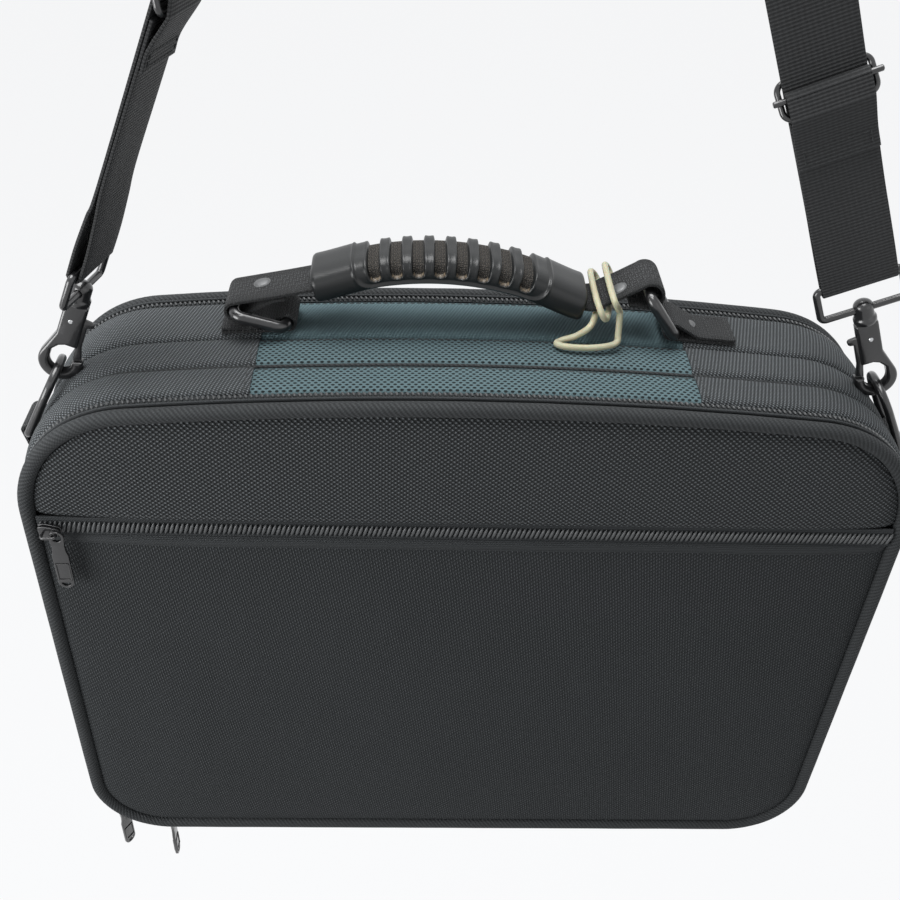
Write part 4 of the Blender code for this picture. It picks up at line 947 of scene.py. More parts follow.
def side_border(inset, low, high):
    """Right border of a panel from its foot to its head, as points."""
    base = HALF - BASE_CORNER
    points = []
    if low is None:
        points += arc((base, BASE_CORNER), BASE_CORNER - inset, -90.0, 0.0, 24)
        low = BASE_CORNER
    else:
        points.append((HALF - inset, low))
    straight = CORNER_Z if high is None else high
    points += [(HALF - inset, low + (straight - low) * i / 20) for i in range(1, 21)]
    if high is None:
        points += arc((CORNER_X, CORNER_Z), TOP_CORNER - inset, 0.0, TILT, 24)[1:]
    return [Vector(point) for point in points]


def at_share(points, share):
    """Point at a share of a line's length."""
    lengths = [(b - a).length for a, b in zip(points, points[1:])]
    wanted = share * sum(lengths)
    for a, b, length in zip(points, points[1:], lengths):
        if wanted <= length:
            return a.lerp(b, wanted / length if length else 0.0)
        wanted -= length
    return points[-1]


def sheet(inset, depth, columns, rows, low=None, high=None, facing=-1):
    """A sheet that fills the side outline between two heights, its depth given by a function of x and z."""
    border = side_border(inset, low, high)

    def closer(i, count):
        share = i / count
        return share - sin(2 * pi * share) / (2 * pi) * 0.85

    points = []
    for i in range(rows + 1):
        t = closer(i, rows)
        edge = at_share(border, t)
        for j in range(columns + 1):
            s = closer(j, columns)
            x = (2.0 * s - 1.0)
            foot_x = x * border[0].x
            head_x = x * border[-1].x
            foot_z = border[0].y
            head_z = border[-1].y if high is not None else crown_height(head_x, inset)
            across = foot_x + (head_x - foot_x) * t
            reach = x * edge.x - x * (border[0].x + (border[-1].x - border[0].x) * t)
            rise = foot_z + (head_z - foot_z) * t + edge.y - (foot_z + (border[-1].y - foot_z) * t)
            px = across + reach
            points.append(Vector((px, depth(px, rise), rise)))
    faces = []
    for i in range(rows):
        for j in range(columns):
            a = i * (columns + 1) + j
            face = (a, a + 1, a + columns + 2, a + columns + 1)
            faces.append(face if facing < 0 else face[::-1])
    mesh = bpy.data.meshes.new("sheet")
    mesh.from_pydata(points, [], faces)
    return new_object(mesh)


def panel_rise(x, z, swell, pucker):
    """How far an outer panel stands off its seam at a place."""
    inside = border_depth(x, z) - PANEL_INSET
    rise = 0.0004 + 0.0030 * (1.0 - exp(-max(inside, 0.0) / 0.0048)) + swell * ease(inside / 0.06)
    folds = noise.noise(Vector((x * 11.0, z * 7.0, 2.3))) + 0.5 * noise.noise(Vector((x * 31.0, z * 22.0, 8.1)))
    return rise + pucker * folds * ease(inside / 0.02)


def front_depth(sizes):
    """Depth of the front panels' faces: swollen, and dipping to the pocket zip."""
    def depth(x, z):
        gap = max(0.0, abs(z - POCKET_Z) - POCKET_TAPE / 2)
        dip = 0.0004 * exp(-gap / 0.010)
        if z > POCKET_Z:
            dip += 0.0014 * exp(-gap / 0.0008)
        return -(panel_rise(x, z, sizes.panel_swell, sizes.panel_pucker) - dip)
    return depth


class BRIEFCASE_OT_front_panels(bpy.types.Operator):
    """Model the two padded front panels, the upper one turned under along the pocket zip"""
    bl_idname = "briefcase.front_panels"
    bl_label = "Front panels"

    def execute(self, context):
        sizes = context.scene.briefcase_sizes
        depth = front_depth(sizes)
        half = POCKET_TAPE / 2 + CLEAR
        upper = thickened(sheet(PANEL_INSET, depth, 130, 46, low=POCKET_Z + half), 0.002)
        upper = settle(upper, "upper_panel_cloth", "front_flap", FINISHES["ballistic"], ["front_upper_panel"])
        lower = thickened(sheet(PANEL_INSET, depth, 130, 90, high=POCKET_Z - half), 0.002)
        lower = settle(lower, "pocket_panel_cloth", "front_flap", FINISHES["pocket"], ["front_pocket_panel"])
        return {"FINISHED"}


class BRIEFCASE_OT_pocket_zip(bpy.types.Operator):
    """Model the pocket zip's tape, its row of slanting teeth and the stitching that holds it"""
    bl_idname = "briefcase.pocket_zip"
    bl_label = "Pocket zip"

    def execute(self, context):
        sizes = context.scene.briefcase_sizes
        depth = front_depth(sizes)
        reach = HALF - PANEL_INSET - CLEAR
        half = POCKET_TAPE / 2
        lap = sizes.zip_lap
        face = -0.0028
        rows = []
        for i in range(161):
            x = -reach + 2 * reach * i / 160
            sag = 0.0002 * noise.noise(Vector((x * 20.0, 0.0, 1.0)))
            over = depth(x, POCKET_Z - half - lap)
            section = [(face + 0.0008, half), (face, half), (face, 0.0036), (face + 0.0002, 0.0), (face, -0.0036),
                       (face - 0.0004, -0.0044), (over - 0.0005, -half), (over - 0.0007, -half - lap * 0.4),
                       (over - 0.0004, -half - lap * 0.62), (over - 0.0006, -half - lap * 0.8),
                       (over - 0.0003, -half - lap), (over + 0.0006, -half - lap), (face + 0.0008, -half)]
            rows.append([Vector((x, y + sag, POCKET_Z + z)) for y, z in section])
        settle(skin(rows), "pocket_zip_tape", "front_flap", FINISHES["tape"], ["front_pocket_zip"])
        frames = []
        count = int(2 * reach / sizes.tooth_pitch)
        lean = Matrix.Rotation(radians(-18.0), 4, "Z")
        for i in range(count):
            x = -reach + (i + 0.5) * 2 * reach / count
            frames.append(frame_at((x, face - 0.0006, POCKET_Z), (1, 0, 0), (0, 0, 1), (0, -1, 0)) @ lean)
        teeth = copies(bead(0.00086, POCKET_COIL * 0.69, 0.0009, 8, 8), frames)
        settle(teeth, "pocket_zip_teeth", "front_flap", FINISHES["coil"], [], angle=80.0)
        line = [-reach + 2 * reach * i / 200 for i in range(1, 200)]
        rows = []
        for z in (POCKET_Z + half + 0.0030, POCKET_Z - half - lap * 0.62):
            sewn = 0.0003 if z < POCKET_Z else 0.0
            places = [Vector((x, depth(x, z) - sewn, z)) for x in line]
            rows += spaced(places, [Vector((0.0, -1.0, 0.0))] * len(places), sizes.stitch_length * 1.25)
        settle(stitches(rows, sizes), "pocket_zip_stitches", "front_flap", FINISHES["thread"])
        return {"FINISHED"}


class BRIEFCASE_OT_piping(bpy.types.Operator):
    """Model the covered piping of both faces, the divider's ridge and the zip tapes beside the piping"""
    bl_idname = "briefcase.piping"
    bl_label = "Piping and tapes"

    def execute(self, context):
        places = rim()
        bodies = (("front_piping", "front_flap", PIPING_RADIUS, PIPING_RADIUS, 0.0),
                  ("rear_piping", "rear_flap", PIPING_RADIUS, PIPING_RADIUS, REAR_PIPING_Y),
                  ("divider_piping", "bag", 0.0019, 0.0009, RIDGE_Y))
        for node, body, inset, radius, y in bodies:
            rows = []
            for i, place in enumerate(places):
                lump = radius * (1.0 + 0.03 * noise.noise(Vector((i * 0.21, y * 90.0, 4.0))))
                ring = arc((0.0, 0.0), lump, 0.0, 360.0, 20)[:-1]
                rows.append([off_rim(place, out - inset, y + across) for out, across in ring])
            settle(skin(rows, loop=True), node + "_cover", body, FINISHES["twill"], [node], 60.0)
        for node, body, y in (("front_flap_tape", "front_flap", FLAP_TAPE_Y), ("rear_flap_tape", "rear_flap", REAR_TAPE_Y)):
            section = ((-TAPE_DEPTH, 0.0), (-0.0006, 0.0), (-CLEAR, 0.0005), (-CLEAR, TAPE_WIDTH - 0.0005),
                       (-0.0006, TAPE_WIDTH), (-TAPE_DEPTH, TAPE_WIDTH))
            rows = [[off_rim(place, off, y + along) for off, along in section] for place in places]
            settle(skin(rows, loop=True), node + "_cloth", body, FINISHES["tape"], [node])
        return {"FINISHED"}


def strip_section(start, width, lift, puff):
    """A gusset strip's section as depth and distance out, rolled in at its two seams."""
    section = []
    for i in range(21):
        share = i / 20
        share = share - sin(2 * pi * share) / (2 * pi) * 0.6
        inward = min(share, 1.0 - share) * width
        roll = 0.0025 * exp(-inward / 0.0011)
        section.append((start + width * share, lift + puff * sin(pi * share) - roll))
    return section + [(start + width, -WALL), (start, -WALL)]


def strip_rows(places, start, width, lift, puff):
    """Rows of a gusset strip along rim places, flat where a tab is sewn to it."""
    rows = []
    for place in places:
        x, z = place[:2]
        on_side = ease((abs(x) - CORNER_X) / 0.03)
        free = ease(abs(z - RING_BAR_Z + 0.015) / 0.030 - 0.6) if start == MIDDLE_Y else 1.0
        swell = puff * (0.15 + 0.85 * on_side * free) * (1.0 + 0.5 * noise.noise(Vector((x * 19.0, start * 70.0, z * 19.0))))
        rows.append([off_rim(place, off, y) for y, off in strip_section(start, width, lift, swell)])
    return rows


class BRIEFCASE_OT_gusset(bpy.types.Operator):
    """Model the three gusset strips, the mesh and knitted panels along their tops, and their stitching"""
    bl_idname = "briefcase.gusset"
    bl_label = "Gusset"

    def execute(self, context):
        sizes = context.scene.briefcase_sizes
        seam = RIDGE_RADIUS - 0.0003
        strips = (("front", FRONT_Y, FRONT_STRIP + seam, "mesh"), ("middle", MIDDLE_Y - seam, MIDDLE_STRIP + seam, "mesh"),
                  ("rear", REAR_Y, REAR_STRIP, "knit"))
        for name, start, width, cloth in strips:
            rows = strip_rows(rim(MESH_HALF), start, width, 0.0002, sizes.strip_puff)
            settle(skin(rows), name + "_gusset_cloth", "bag", FINISHES["gusset"], [name + "_gusset"])
            rows = strip_rows(crown_rim(MESH_HALF + 0.0003), start, width, -0.0007, sizes.strip_puff)
            settle(skin(rows), name + "_top_cloth", "bag", FINISHES[cloth], [name + "_mesh_panel"])
            frames = []
            line = [off_rim(place, -0.0007, start + width - 0.0032) for place in crown_rim(MESH_HALF)]
            frames += spaced(line, [Vector((0.0, 0.0, 1.0))] * len(line), sizes.stitch_length * 1.25)
            for side in (-1, 1):
                x = side * (MESH_HALF + 0.0026)
                ends = [Vector((x, start + inward, crown_height(x) + 0.0003)) for inward in (0.0015, width - 0.0015)]
                frames += spaced(ends, [Vector((0.0, 0.0, 1.0))] * 2, sizes.stitch_length * 1.25)
            settle(stitches(frames, sizes), name + "_gusset_stitches", "bag", FINISHES["thread"])
        return {"FINISHED"}


class BRIEFCASE_OT_zip_teeth(bpy.types.Operator):
    """Model the rows of teeth that close the two compartments, on their tapes"""
    bl_idname = "briefcase.zip_teeth"
    bl_label = "Compartment zips"

    def execute(self, context):
        sizes = context.scene.briefcase_sizes
        places = rim()
        outs = [Vector((place[2], 0.0, place[3])) for place in places]
        lean = Matrix.Rotation(radians(24.0), 4, "Z")
        for name, y in (("front", COIL_Y), ("rear", REAR_COIL_Y)):
            line = [off_rim(place, -0.0009, y) for place in places]
            frames = [place @ lean for place in spaced(line, outs, sizes.tooth_pitch * 1.05, closed=True)]
            teeth = copies(bead(0.00066, 0.00160, 0.0008), frames)
            settle(teeth, name + "_zip_teeth", "bag", FINISHES["coil"], [name + "_zip_coil"], 80.0)
            section = ((-0.0030, -COIL_RADIUS), (-0.0016, -COIL_RADIUS), (-0.0013, 0.0), (-0.0016, COIL_RADIUS),
                       (-0.0030, COIL_RADIUS))
            rows = [[off_rim(place, off, y + along) for off, along in section] for place in places]
            settle(skin(rows, loop=True), name + "_zip_tape", "bag", FINISHES["tape"], [])
        return {"FINISHED"}


class BRIEFCASE_OT_rear_panel(bpy.types.Operator):
    """Model the padded rear panel, the divider between the compartments and the front pocket's lining"""
    bl_idname = "briefcase.rear_panel"
    bl_label = "Rear panel and linings"

    def execute(self, context):
        sizes = context.scene.briefcase_sizes

        def rear(x, z):
            return REAR_PIPING_Y + panel_rise(-x, z, sizes.panel_swell, sizes.panel_pucker)

        panel = thickened(sheet(PANEL_INSET, rear, 130, 120, facing=1), 0.002)
        panel = settle(panel, "rear_panel_cloth", "rear_flap", FINISHES["ballistic"], ["rear_panel"])

        def wavy(middle, depth):
            def at(x, z):
                return middle + depth * noise.noise(Vector((x * 14.0, z * 9.0, middle * 300.0)))
            return at

        back = FLAP_TAPE_Y + TAPE_WIDTH + CLEAR
        cloths = (("front_pocket_lining", "front_flap", 2 * COIL_RADIUS + 2 * CLEAR, back + 0.0004, 0.0003, 0.0011),
                  ("divider_panel", "bag", 2 * RIDGE_RADIUS - RIDGE_PROUD + CLEAR, RIDGE_Y - DIVIDER / 2, 0.0006, DIVIDER))
        for node, body, inset, y, depth, thickness in cloths:
            cloth = thickened(sheet(inset, wavy(y, depth), 70, 60), thickness)
            settle(cloth, node + "_cloth", body, FINISHES["lining"], [node])
        return {"FINISHED"}


# Zip sliders and pulls

def bail_height():
    """Height of the staple's bridge over the tape."""
    return CLEAR + SLIDER_THICK + BAIL_RISE


def zip_slider(node, body, matrix):
    """Slider body with a waist, its two plates and the staple, in a frame of run, across and out of the tape."""
    half = SLIDER_LENGTH / 2
    side = SLIDER_WIDTH / 2
    outline = arc((half - 0.0022, 0.0), 0.0022, -70.0, 70.0, 8) + [(0.0006, side * 0.82), (-half * 0.5, side)]
    outline += [(-half, side * 0.92), (-half, -side * 0.92), (-half * 0.5, -side), (0.0006, -side * 0.82)]
    plates = []
    for low, high, grow in ((CLEAR, CLEAR + 0.0011, 1.0), (CLEAR + 0.0013, CLEAR + 0.0019, 0.8),
                            (CLEAR + 0.0019, CLEAR + SLIDER_THICK, 0.97)):
        loop = [(u * grow, v * grow) for u, v in outline]
        plates.append(plate([loop], high - low, 0.0003, matrix @ Matrix.Translation((0.0, 0.0, (low + high) / 2))))
    span = BAIL_SPAN / 2
    foot = CLEAR + SLIDER_THICK - BAIL_WIRE / 2
    top = bail_height()
    bend = BAIL_WIRE
    flat = [(-span, foot)] + arc((-span + bend, top - bend), bend, 180.0, 90.0, 6)
    flat += arc((span - bend, top - bend), bend, 90.0, 0.0, 6) + [(span, foot)]
    bail = wire([matrix @ Vector((u, 0.0, w)) for u, w in flat], BAIL_WIRE / 2)
    settle(joined(plates + [bail]), node + "_cast", body, FINISHES["enamel"], [node])


def zip_pull(node, body, matrix):
    """Pull with a round eye, a neck, a bare recessed panel and a slot at its end."""
    eye = PULL_EYE / 2
    round_eye = eye + PULL_EYE_RIM
    half = PULL_WIDTH / 2
    length = PULL_LENGTH - round_eye
    loop = arc((0.0, 0.0), round_eye, -20.0, 200.0, 22)
    loop += [(-half * 0.78, -0.0052), (-half * 0.82, -0.0085), (-half, -0.0110)]
    loop += arc((0.0, half - length), half, 180.0, 360.0, 20)
    loop += [(half, -0.0110), (half * 0.82, -0.0085), (half * 0.78, -0.0052)]
    hole = arc((0.0, 0.0), eye, 0.0, 345.0, 23)
    slot_y = half - length - CLEAR
    slot = arc((0.0, slot_y), PULL_END_HOLE, 180.0, 360.0, 12)
    tab = plate([loop, hole, slot], PULL_THICK, 0.0003, matrix)
    top = slot_y + PULL_END_HOLE * 0.8
    frames = []
    for out in (1, -1):
        rail = PULL_THICK / 2 * out
        for low, high in ((top, top + 0.0007), (top + 0.0100, top + 0.0107)):
            frames.append(block((-half * 0.86, low, min(rail, rail + 0.0003 * out) - 0.0001),
                                (half * 0.86, high, max(rail, rail + 0.0003 * out) + 0.0001), 0.00015, matrix))
        for x in (-half * 0.86, half * 0.86 - 0.0006):
            frames.append(block((x, top, min(rail, rail + 0.0003 * out) - 0.0001),
                                (x + 0.0006, top + 0.0107, max(rail, rail + 0.0003 * out) + 0.0001), 0.00015, matrix))
    settle(joined([tab] + frames), node + "_cast", body, FINISHES["enamel"], [node])


class BRIEFCASE_OT_zip_sliders(bpy.types.Operator):
    """Model the zip sliders and their hanging pulls"""
    bl_idname = "briefcase.zip_sliders"
    bl_label = "Zip sliders and pulls"

    def execute(self, context):
        drop = (PULL_EYE - BAIL_WIRE) / 2 - CLEAR
        out = -PIPING_RADIUS + CLEAR - POCKET_COIL_PROUD
        matrix = frame_at((POCKET_SLIDER_X, out, POCKET_Z), (1, 0, 0), (0, 0, 1), (0, -1, 0))
        zip_slider("pocket_zip_slider", "pocket_slider", matrix)
        post = matrix @ Vector((BAIL_SPAN / 2, 0.0, SLIDER_THICK + 2 * CLEAR + PULL_THICK / 2))
        hang = post - Vector((0.0, 0.0, drop))
        zip_pull("pocket_zip_pull", "pocket_pull", frame_at(hang, (1, 0, 0), (0, 0, 1), (0, -1, 0)))
        centre = Vector((-HALF + BASE_CORNER, COIL_Y, BASE_CORNER))
        for letter, angle, twist in zip("ab", FRONT_SLIDER_ANGLES, FRONT_PULL_TWISTS):
            place = polar(centre, BASE_CORNER, angle)
            out = (place - centre).normalized()
            matrix = frame_at(place, (-out.z, 0.0, out.x), (0, 1, 0), out)
            zip_slider("front_zip_slider_" + letter, "front_slider_" + letter, matrix)
            lean = max(0.0, min(1.0, (270.0 - angle) / 45.0))
            corner = (BAIL_SPAN / 2 - BAIL_WIRE / 2) * lean
            post = matrix @ Vector((corner, 0.0, bail_height() - BAIL_WIRE / 2 * lean))
            hang = post - Vector((0.0, 0.0, drop))
            turn = radians(90.0 - twist)
            matrix = frame_at(hang, (cos(turn), sin(turn), 0.0), (0, 0, 1), (sin(turn), -cos(turn), 0.0))
            zip_pull("front_zip_pull_" + letter, "front_pull_" + letter, matrix)
        matrix = frame_at((HALF, REAR_COIL_Y, REAR_SLIDER_Z), (0, 0, -1), (0, 1, 0), (1, 0, 0))
        zip_slider("rear_zip_slider", "rear_slider", matrix)
        post = matrix @ Vector((BAIL_SPAN / 2, 0.0, SLIDER_THICK + 2 * CLEAR + PULL_THICK / 2))
        hang = post - Vector((0.0, 0.0, drop))
        zip_pull("rear_zip_pull", "rear_pull", frame_at(hang, (0, 1, 0), (0, 0, 1), (1, 0, 0)))
        return {"FINISHED"}


# Webbing

def webbing(points, across, width, thickness, steps=4):
    """Flat webbing with rounded edges through points, its width along the across vectors."""
    run = smooth_run(points, steps)
    sides = [side.normalized() for side in smooth_run(across, steps)]
    half = width / 2
    deep = thickness / 2
    edge = deep * 0.8
    section = [(-half + edge, -deep), (-half / 2, -deep), (0.0, -deep), (half / 2, -deep), (half - edge, -deep),
               (half - edge * 0.25, -deep * 0.7), (half, 0.0), (half - edge * 0.25, deep * 0.7), (half - edge, deep),
               (half / 2, deep), (0.0, deep), (-half / 2, deep), (-half + edge, deep), (-half + edge * 0.25, deep * 0.7),
               (-half, 0.0), (-half + edge * 0.25, -deep * 0.7)]
    rows = []
    for place, way, side in zip(run, run_ways(run), sides):
        lift = way.cross(side).normalized()
        rows.append([place + side * along + lift * up for along, up in section])
    return skin(rows)


def level_webbing(points, width, thickness, y, steps=4):
    """Webbing whose width lies along y, through x and z points."""
    places = [Vector((x, y, z)) for x, z in points]
    return webbing(places, [Vector((0.0, 1.0, 0.0))] * len(places), width, thickness, steps)


def sewn_box(corners, out, sizes):
    """Stitches round a four-cornered box on webbing."""
    frames = []
    for a, b in zip(corners, corners[1:] + corners[:1]):
        frames += spaced([a, b], [out, out], sizes.stitch_length * 1.25)
    return frames


def rivet(place, out, radius):
    """Domed rivet head on a thin washer."""
    turn = out.to_track_quat("Z", "Y").to_matrix().to_4x4()
    profile = [(0.0, 0.0012)] + [(radius * sin(radians(a)), 0.0003 + 0.0009 * cos(radians(a))) for a in (18, 36, 54, 72, 90)]
    profile += [(radius * 1.12, 0.00025), (radius * 1.12, 0.0), (0.0, 0.0)]
    return turned(profile, Matrix.Translation(place) @ turn, 24)


class BRIEFCASE_OT_side_rings(bpy.types.Operator):
    """Model the D rings on the gusset and the webbing tabs that hold them"""
    bl_idname = "briefcase.side_rings"
    bl_label = "Side rings"

    def execute(self, context):
        sizes = context.scene.briefcase_sizes
        half = SIDE_WEB / 2 + SIDE_WIRE / 2 + CLEAR * 2
        reach = SIDE_RING_HEIGHT - half
        bend = SIDE_WIRE * 0.65
        flat = arc((0.0, reach), half, 180.0, 0.0, 28) + arc((half - bend, bend), bend, 0.0, -90.0, 6)
        flat += arc((-half + bend, bend), bend, -90.0, -180.0, 6)
        wrap = SIDE_WIRE / 2 + CLEAR + SIDE_WEB_THICK / 2
        inner = CLEAR + SIDE_WEB_THICK / 2
        outer = inner + SIDE_WEB_THICK + CLEAR
        foot = RING_BAR_Z - SIDE_TAB_LENGTH
        turn = RING_BAR_ANGLE * 180.0 / pi
        low = RING_BAR_Z - 2.4 * wrap
        route = [(side_reach(z, inner), z) for z in (foot, CORNER_Z, (RING_BAR_Z + CORNER_Z) / 2)]
        route += arc((RING_BAR_X, RING_BAR_Z), wrap, turn + 180.0, turn - 15.0, 10)
        route.append((side_reach(low, outer + 2 * CLEAR), low))
        route += [(side_reach(z, outer), z) for z in (RING_BAR_Z - 3.6 * wrap, CORNER_Z - wrap, foot)]
        for name, side in SIDES:
            points = []
            for along, up in flat:
                x = RING_BAR_X - up * sin(RING_LEAN)
                points.append((side * x, STRAP_Y + along, RING_BAR_Z + up * cos(RING_LEAN)))
            ring = wire(points, SIDE_WIRE / 2, True)
            settle(ring, name + "_d_ring", "bag", FINISHES["enamel"], [name + "_side_ring"], 60.0)
            tab = level_webbing([(side * x, z) for x, z in route], SIDE_WEB, SIDE_WEB_THICK, STRAP_Y)
            settle(tab, name + "_d_ring_tab", "bag", FINISHES["basket"], [name + "_side_tab"])
            face = side * (HALF + outer + SIDE_WEB_THICK / 2)
            inset = SIDE_WEB / 2 - 0.0025
            box = [Vector((face, STRAP_Y + y, z)) for y, z in (
                (-inset, foot + 0.002), (inset, foot + 0.002), (inset, foot + 0.012), (-inset, foot + 0.012))]
            sewn = stitches(sewn_box(box, Vector((side, 0.0, 0.0)), sizes), sizes)
            settle(sewn, name + "_d_ring_stitches", "bag", FINISHES["thread"])
        return {"FINISHED"}


class BRIEFCASE_OT_handle_rings(bpy.types.Operator):
    """Model the handle's two rings and the riveted webbing tabs that hold them"""
    bl_idname = "briefcase.handle_rings"
    bl_label = "Handle rings"

    def execute(self, context):
        sizes = context.scene.briefcase_sizes
        half = HANDLE_RING_WIDTH / 2
        bend = HANDLE_RING_CORNER
        far = HANDLE_RING_LENGTH
        flat = arc((far - bend, half - bend), bend, 0.0, 90.0, 8) + arc((bend, half - bend), bend, 90.0, 180.0, 8)
        flat += arc((bend, bend - half), bend, 180.0, 270.0, 8) + arc((far - bend, bend - half), bend, 270.0, 360.0, 8)
        thick = HANDLE_TAB_THICK
        for (name, side), pivot, angle in zip(SIDES, (LEFT_PIVOT, RIGHT_PIVOT), (LEFT_RING_ANGLE, RIGHT_RING_ANGLE)):
            way = polar((0.0, 0.0, 0.0), 1.0, angle)
            ring = wire([pivot + way * along + Vector((0.0, across, 0.0)) for along, across in flat], HANDLE_WIRE / 2, True)
            settle(ring, name + "_handle_link", name + "_ring", FINISHES["enamel"], [name + "_handle_ring"],
                   60.0)
            near = abs(pivot.x)
            end = near + HANDLE_TAB_TAIL

            def rest(x, layers):
                return (x, crown_height(x) + CLEAR + thick / 2 + layers * (thick + CLEAR))

            points = [rest(end, 0), rest((end + near) / 2, 0)] + arc((near, pivot.z), TAB_WRAP, 270.0, 60.0, 12)
            lead = near + TAB_WRAP * 2.6
            points += [rest(lead, 1.6), rest(lead + TAB_WRAP, 1.0), rest(end, 1.0)]
            tab = level_webbing([(side * x, z) for x, z in points], HANDLE_TAB_WIDTH, thick, HANDLE_Y)
            settle(tab, name + "_ring_tab", "bag", FINISHES["basket"], [name + "_handle_tab"])
            inset = HANDLE_TAB_WIDTH / 2 - 0.0025
            box = []
            for x, y in ((end - 0.002, -inset), (end - 0.002, inset), (lead + 0.008, inset), (lead + 0.008, -inset)):
                box.append(Vector((side * x, HANDLE_Y + y, rest(x, 1.0)[1] + thick / 2)))
            sewn = stitches(sewn_box(box, Vector((0.0, 0.0, 1.0)), sizes), sizes)
            settle(sewn, name + "_ring_tab_stitches", "bag", FINISHES["thread"])
        x = RIGHT_TAB_X + 0.0085
        place = Vector((x, HANDLE_Y, rest(x, 1.2)[1] + thick / 2))
        settle(rivet(place, Vector((0.0, 0.0, 1.0)), 0.0036), "right_ring_tab_rivet", "bag", FINISHES["rivet"], [])
        return {"FINISHED"}


def grip_knots():
    """Middle line of the grip: its ends, middle and two points between."""
    half = GRIP_LENGTH / 2
    rises = ((-1.0, GRIP_LEFT_RISE), (0.0, GRIP_RISE), (1.0, GRIP_RIGHT_RISE))
    left, middle, right = [Vector((GRIP_OFFSET + half * share, HANDLE_Y, BAG_HEIGHT + rise)) for share, rise in rises]
    lift = Vector((0.0, 0.0, (middle.z * 2 - left.z - right.z) / 8))
    return [left, (left + middle) / 2 + lift, middle, (middle + right) / 2 + lift, right]


def handle_route(steps=6):
    """Middle line of the handle's webbing from cut end to cut end, and where the grip starts and ends."""
    knots = grip_knots()
    left_wrap = HANDLE_WIRE / 2 + RING_SLACK + HANDLE_WEB_THICK / 2
    right_wrap = HANDLE_WIRE / 2 + LOOSE_LOOP_SLACK + HANDLE_WEB_THICK / 2
    rise = knots[0] - LEFT_EYE
    climb = atan2(rise.z - left_wrap, rise.x) * 180.0 / pi
    left = [polar(LEFT_EYE, left_wrap, 300.0 + (90.0 + climb - 300.0) * i / 9) for i in range(10)]
    way = polar((0.0, 0.0, 0.0), 1.0, climb)
    below = Vector((way.z, 0.0, -way.x)) * (HANDLE_WEB_THICK + CLEAR * 2)
    back = [left[-1] + way * (left_wrap * share) + below * drop for share, drop in ((6.0, 1.0), (4.4, 1.0), (2.8, 1.7))]
    right = [polar(RIGHT_EYE, right_wrap, 135.0 - (135.0 + 95.0) * i / 10) for i in range(11)]
    tail = right[-1] + Vector((-right_wrap * 1.4, 0.0, right_wrap * 0.15))
    valley = knots[-1] + (right[0] - knots[-1]) * 0.45 - Vector((0.0, 0.0, HANDLE_WEB_THICK))
    middle = smooth_run([left[-1]] + knots + [valley, right[0]], steps)
    start = back + left[:-1]
    first = len(start) + steps
    return start + middle + right[1:] + [tail], first, first + steps * (len(knots) - 1)


def oval(width, height, count, power):
    """Flattened round section as across and up, from the front round over the top."""
    points = []
    for i in range(count):
        angle = 2 * pi * (i + 0.5) / count
        c = -cos(angle)
        s = sin(angle)
        points.append((width / 2 * abs(c) ** power * (1 if c > 0 else -1), height / 2 * abs(s) ** power * (1 if s > 0 else -1)))
    return points


def core_share(x):
    """How far the webbing has swollen into the grip's core at x, from 0 to 1."""
    inside = GRIP_LENGTH / 2 - abs(x - GRIP_OFFSET)
    return max(0.0, min(1.0, (inside - CORE_RAMP / 2) / CORE_RAMP))


class BRIEFCASE_OT_handle_webbing(bpy.types.Operator):
    """Model the handle's webbing, folded round both rings and rolled into the grip's core, with its rivets"""
    bl_idname = "briefcase.handle_webbing"
    bl_label = "Handle webbing"

    def execute(self, context):
        route = handle_route()[0]
        run = smooth_run(route, 4)
        rows = []
        dust = []
        ways = run_ways(run)
        for place, way in zip(run, ways):
            share = core_share(place.x)
            dust += [share] * 28
            width = HANDLE_WEB + (CORE_WIDTH - HANDLE_WEB) * share
            height = HANDLE_WEB_THICK + (CORE_HEIGHT - HANDLE_WEB_THICK) * share
            up = Vector((-way.z, 0.0, way.x))
            rows.append([place + Vector((0.0, across, 0.0)) + up * rise
                         for across, rise in oval(width, height, 28, 0.25 + 0.35 * share)])
        cloth = skin(rows)
        layer = cloth.data.attributes.new("dust", "FLOAT", "POINT")
        layer.data.foreach_set("value", dust)
        settle(cloth, "handle_webbing_cloth", "handle", FINISHES["basket"], ["handle_webbing"])
        heads = []
        for wanted, off in ((-0.0980, 0.0025), (0.0660, -0.0040)):
            level = [i for i in range(len(run)) if ways[i].x > 0.3]
            i = min(level, key=lambda i: abs(run[i].x - wanted))
            way = ways[i]
            up = Vector((-way.z, 0.0, way.x))
            heads.append(rivet(run[i] + up * (HANDLE_WEB_THICK / 2 - 0.0001) + Vector((0.0, off, 0.0)), up, 0.0036))
        settle(joined(heads), "handle_rivets", "handle", FINISHES["rivet"], [])
        return {"FINISHED"}


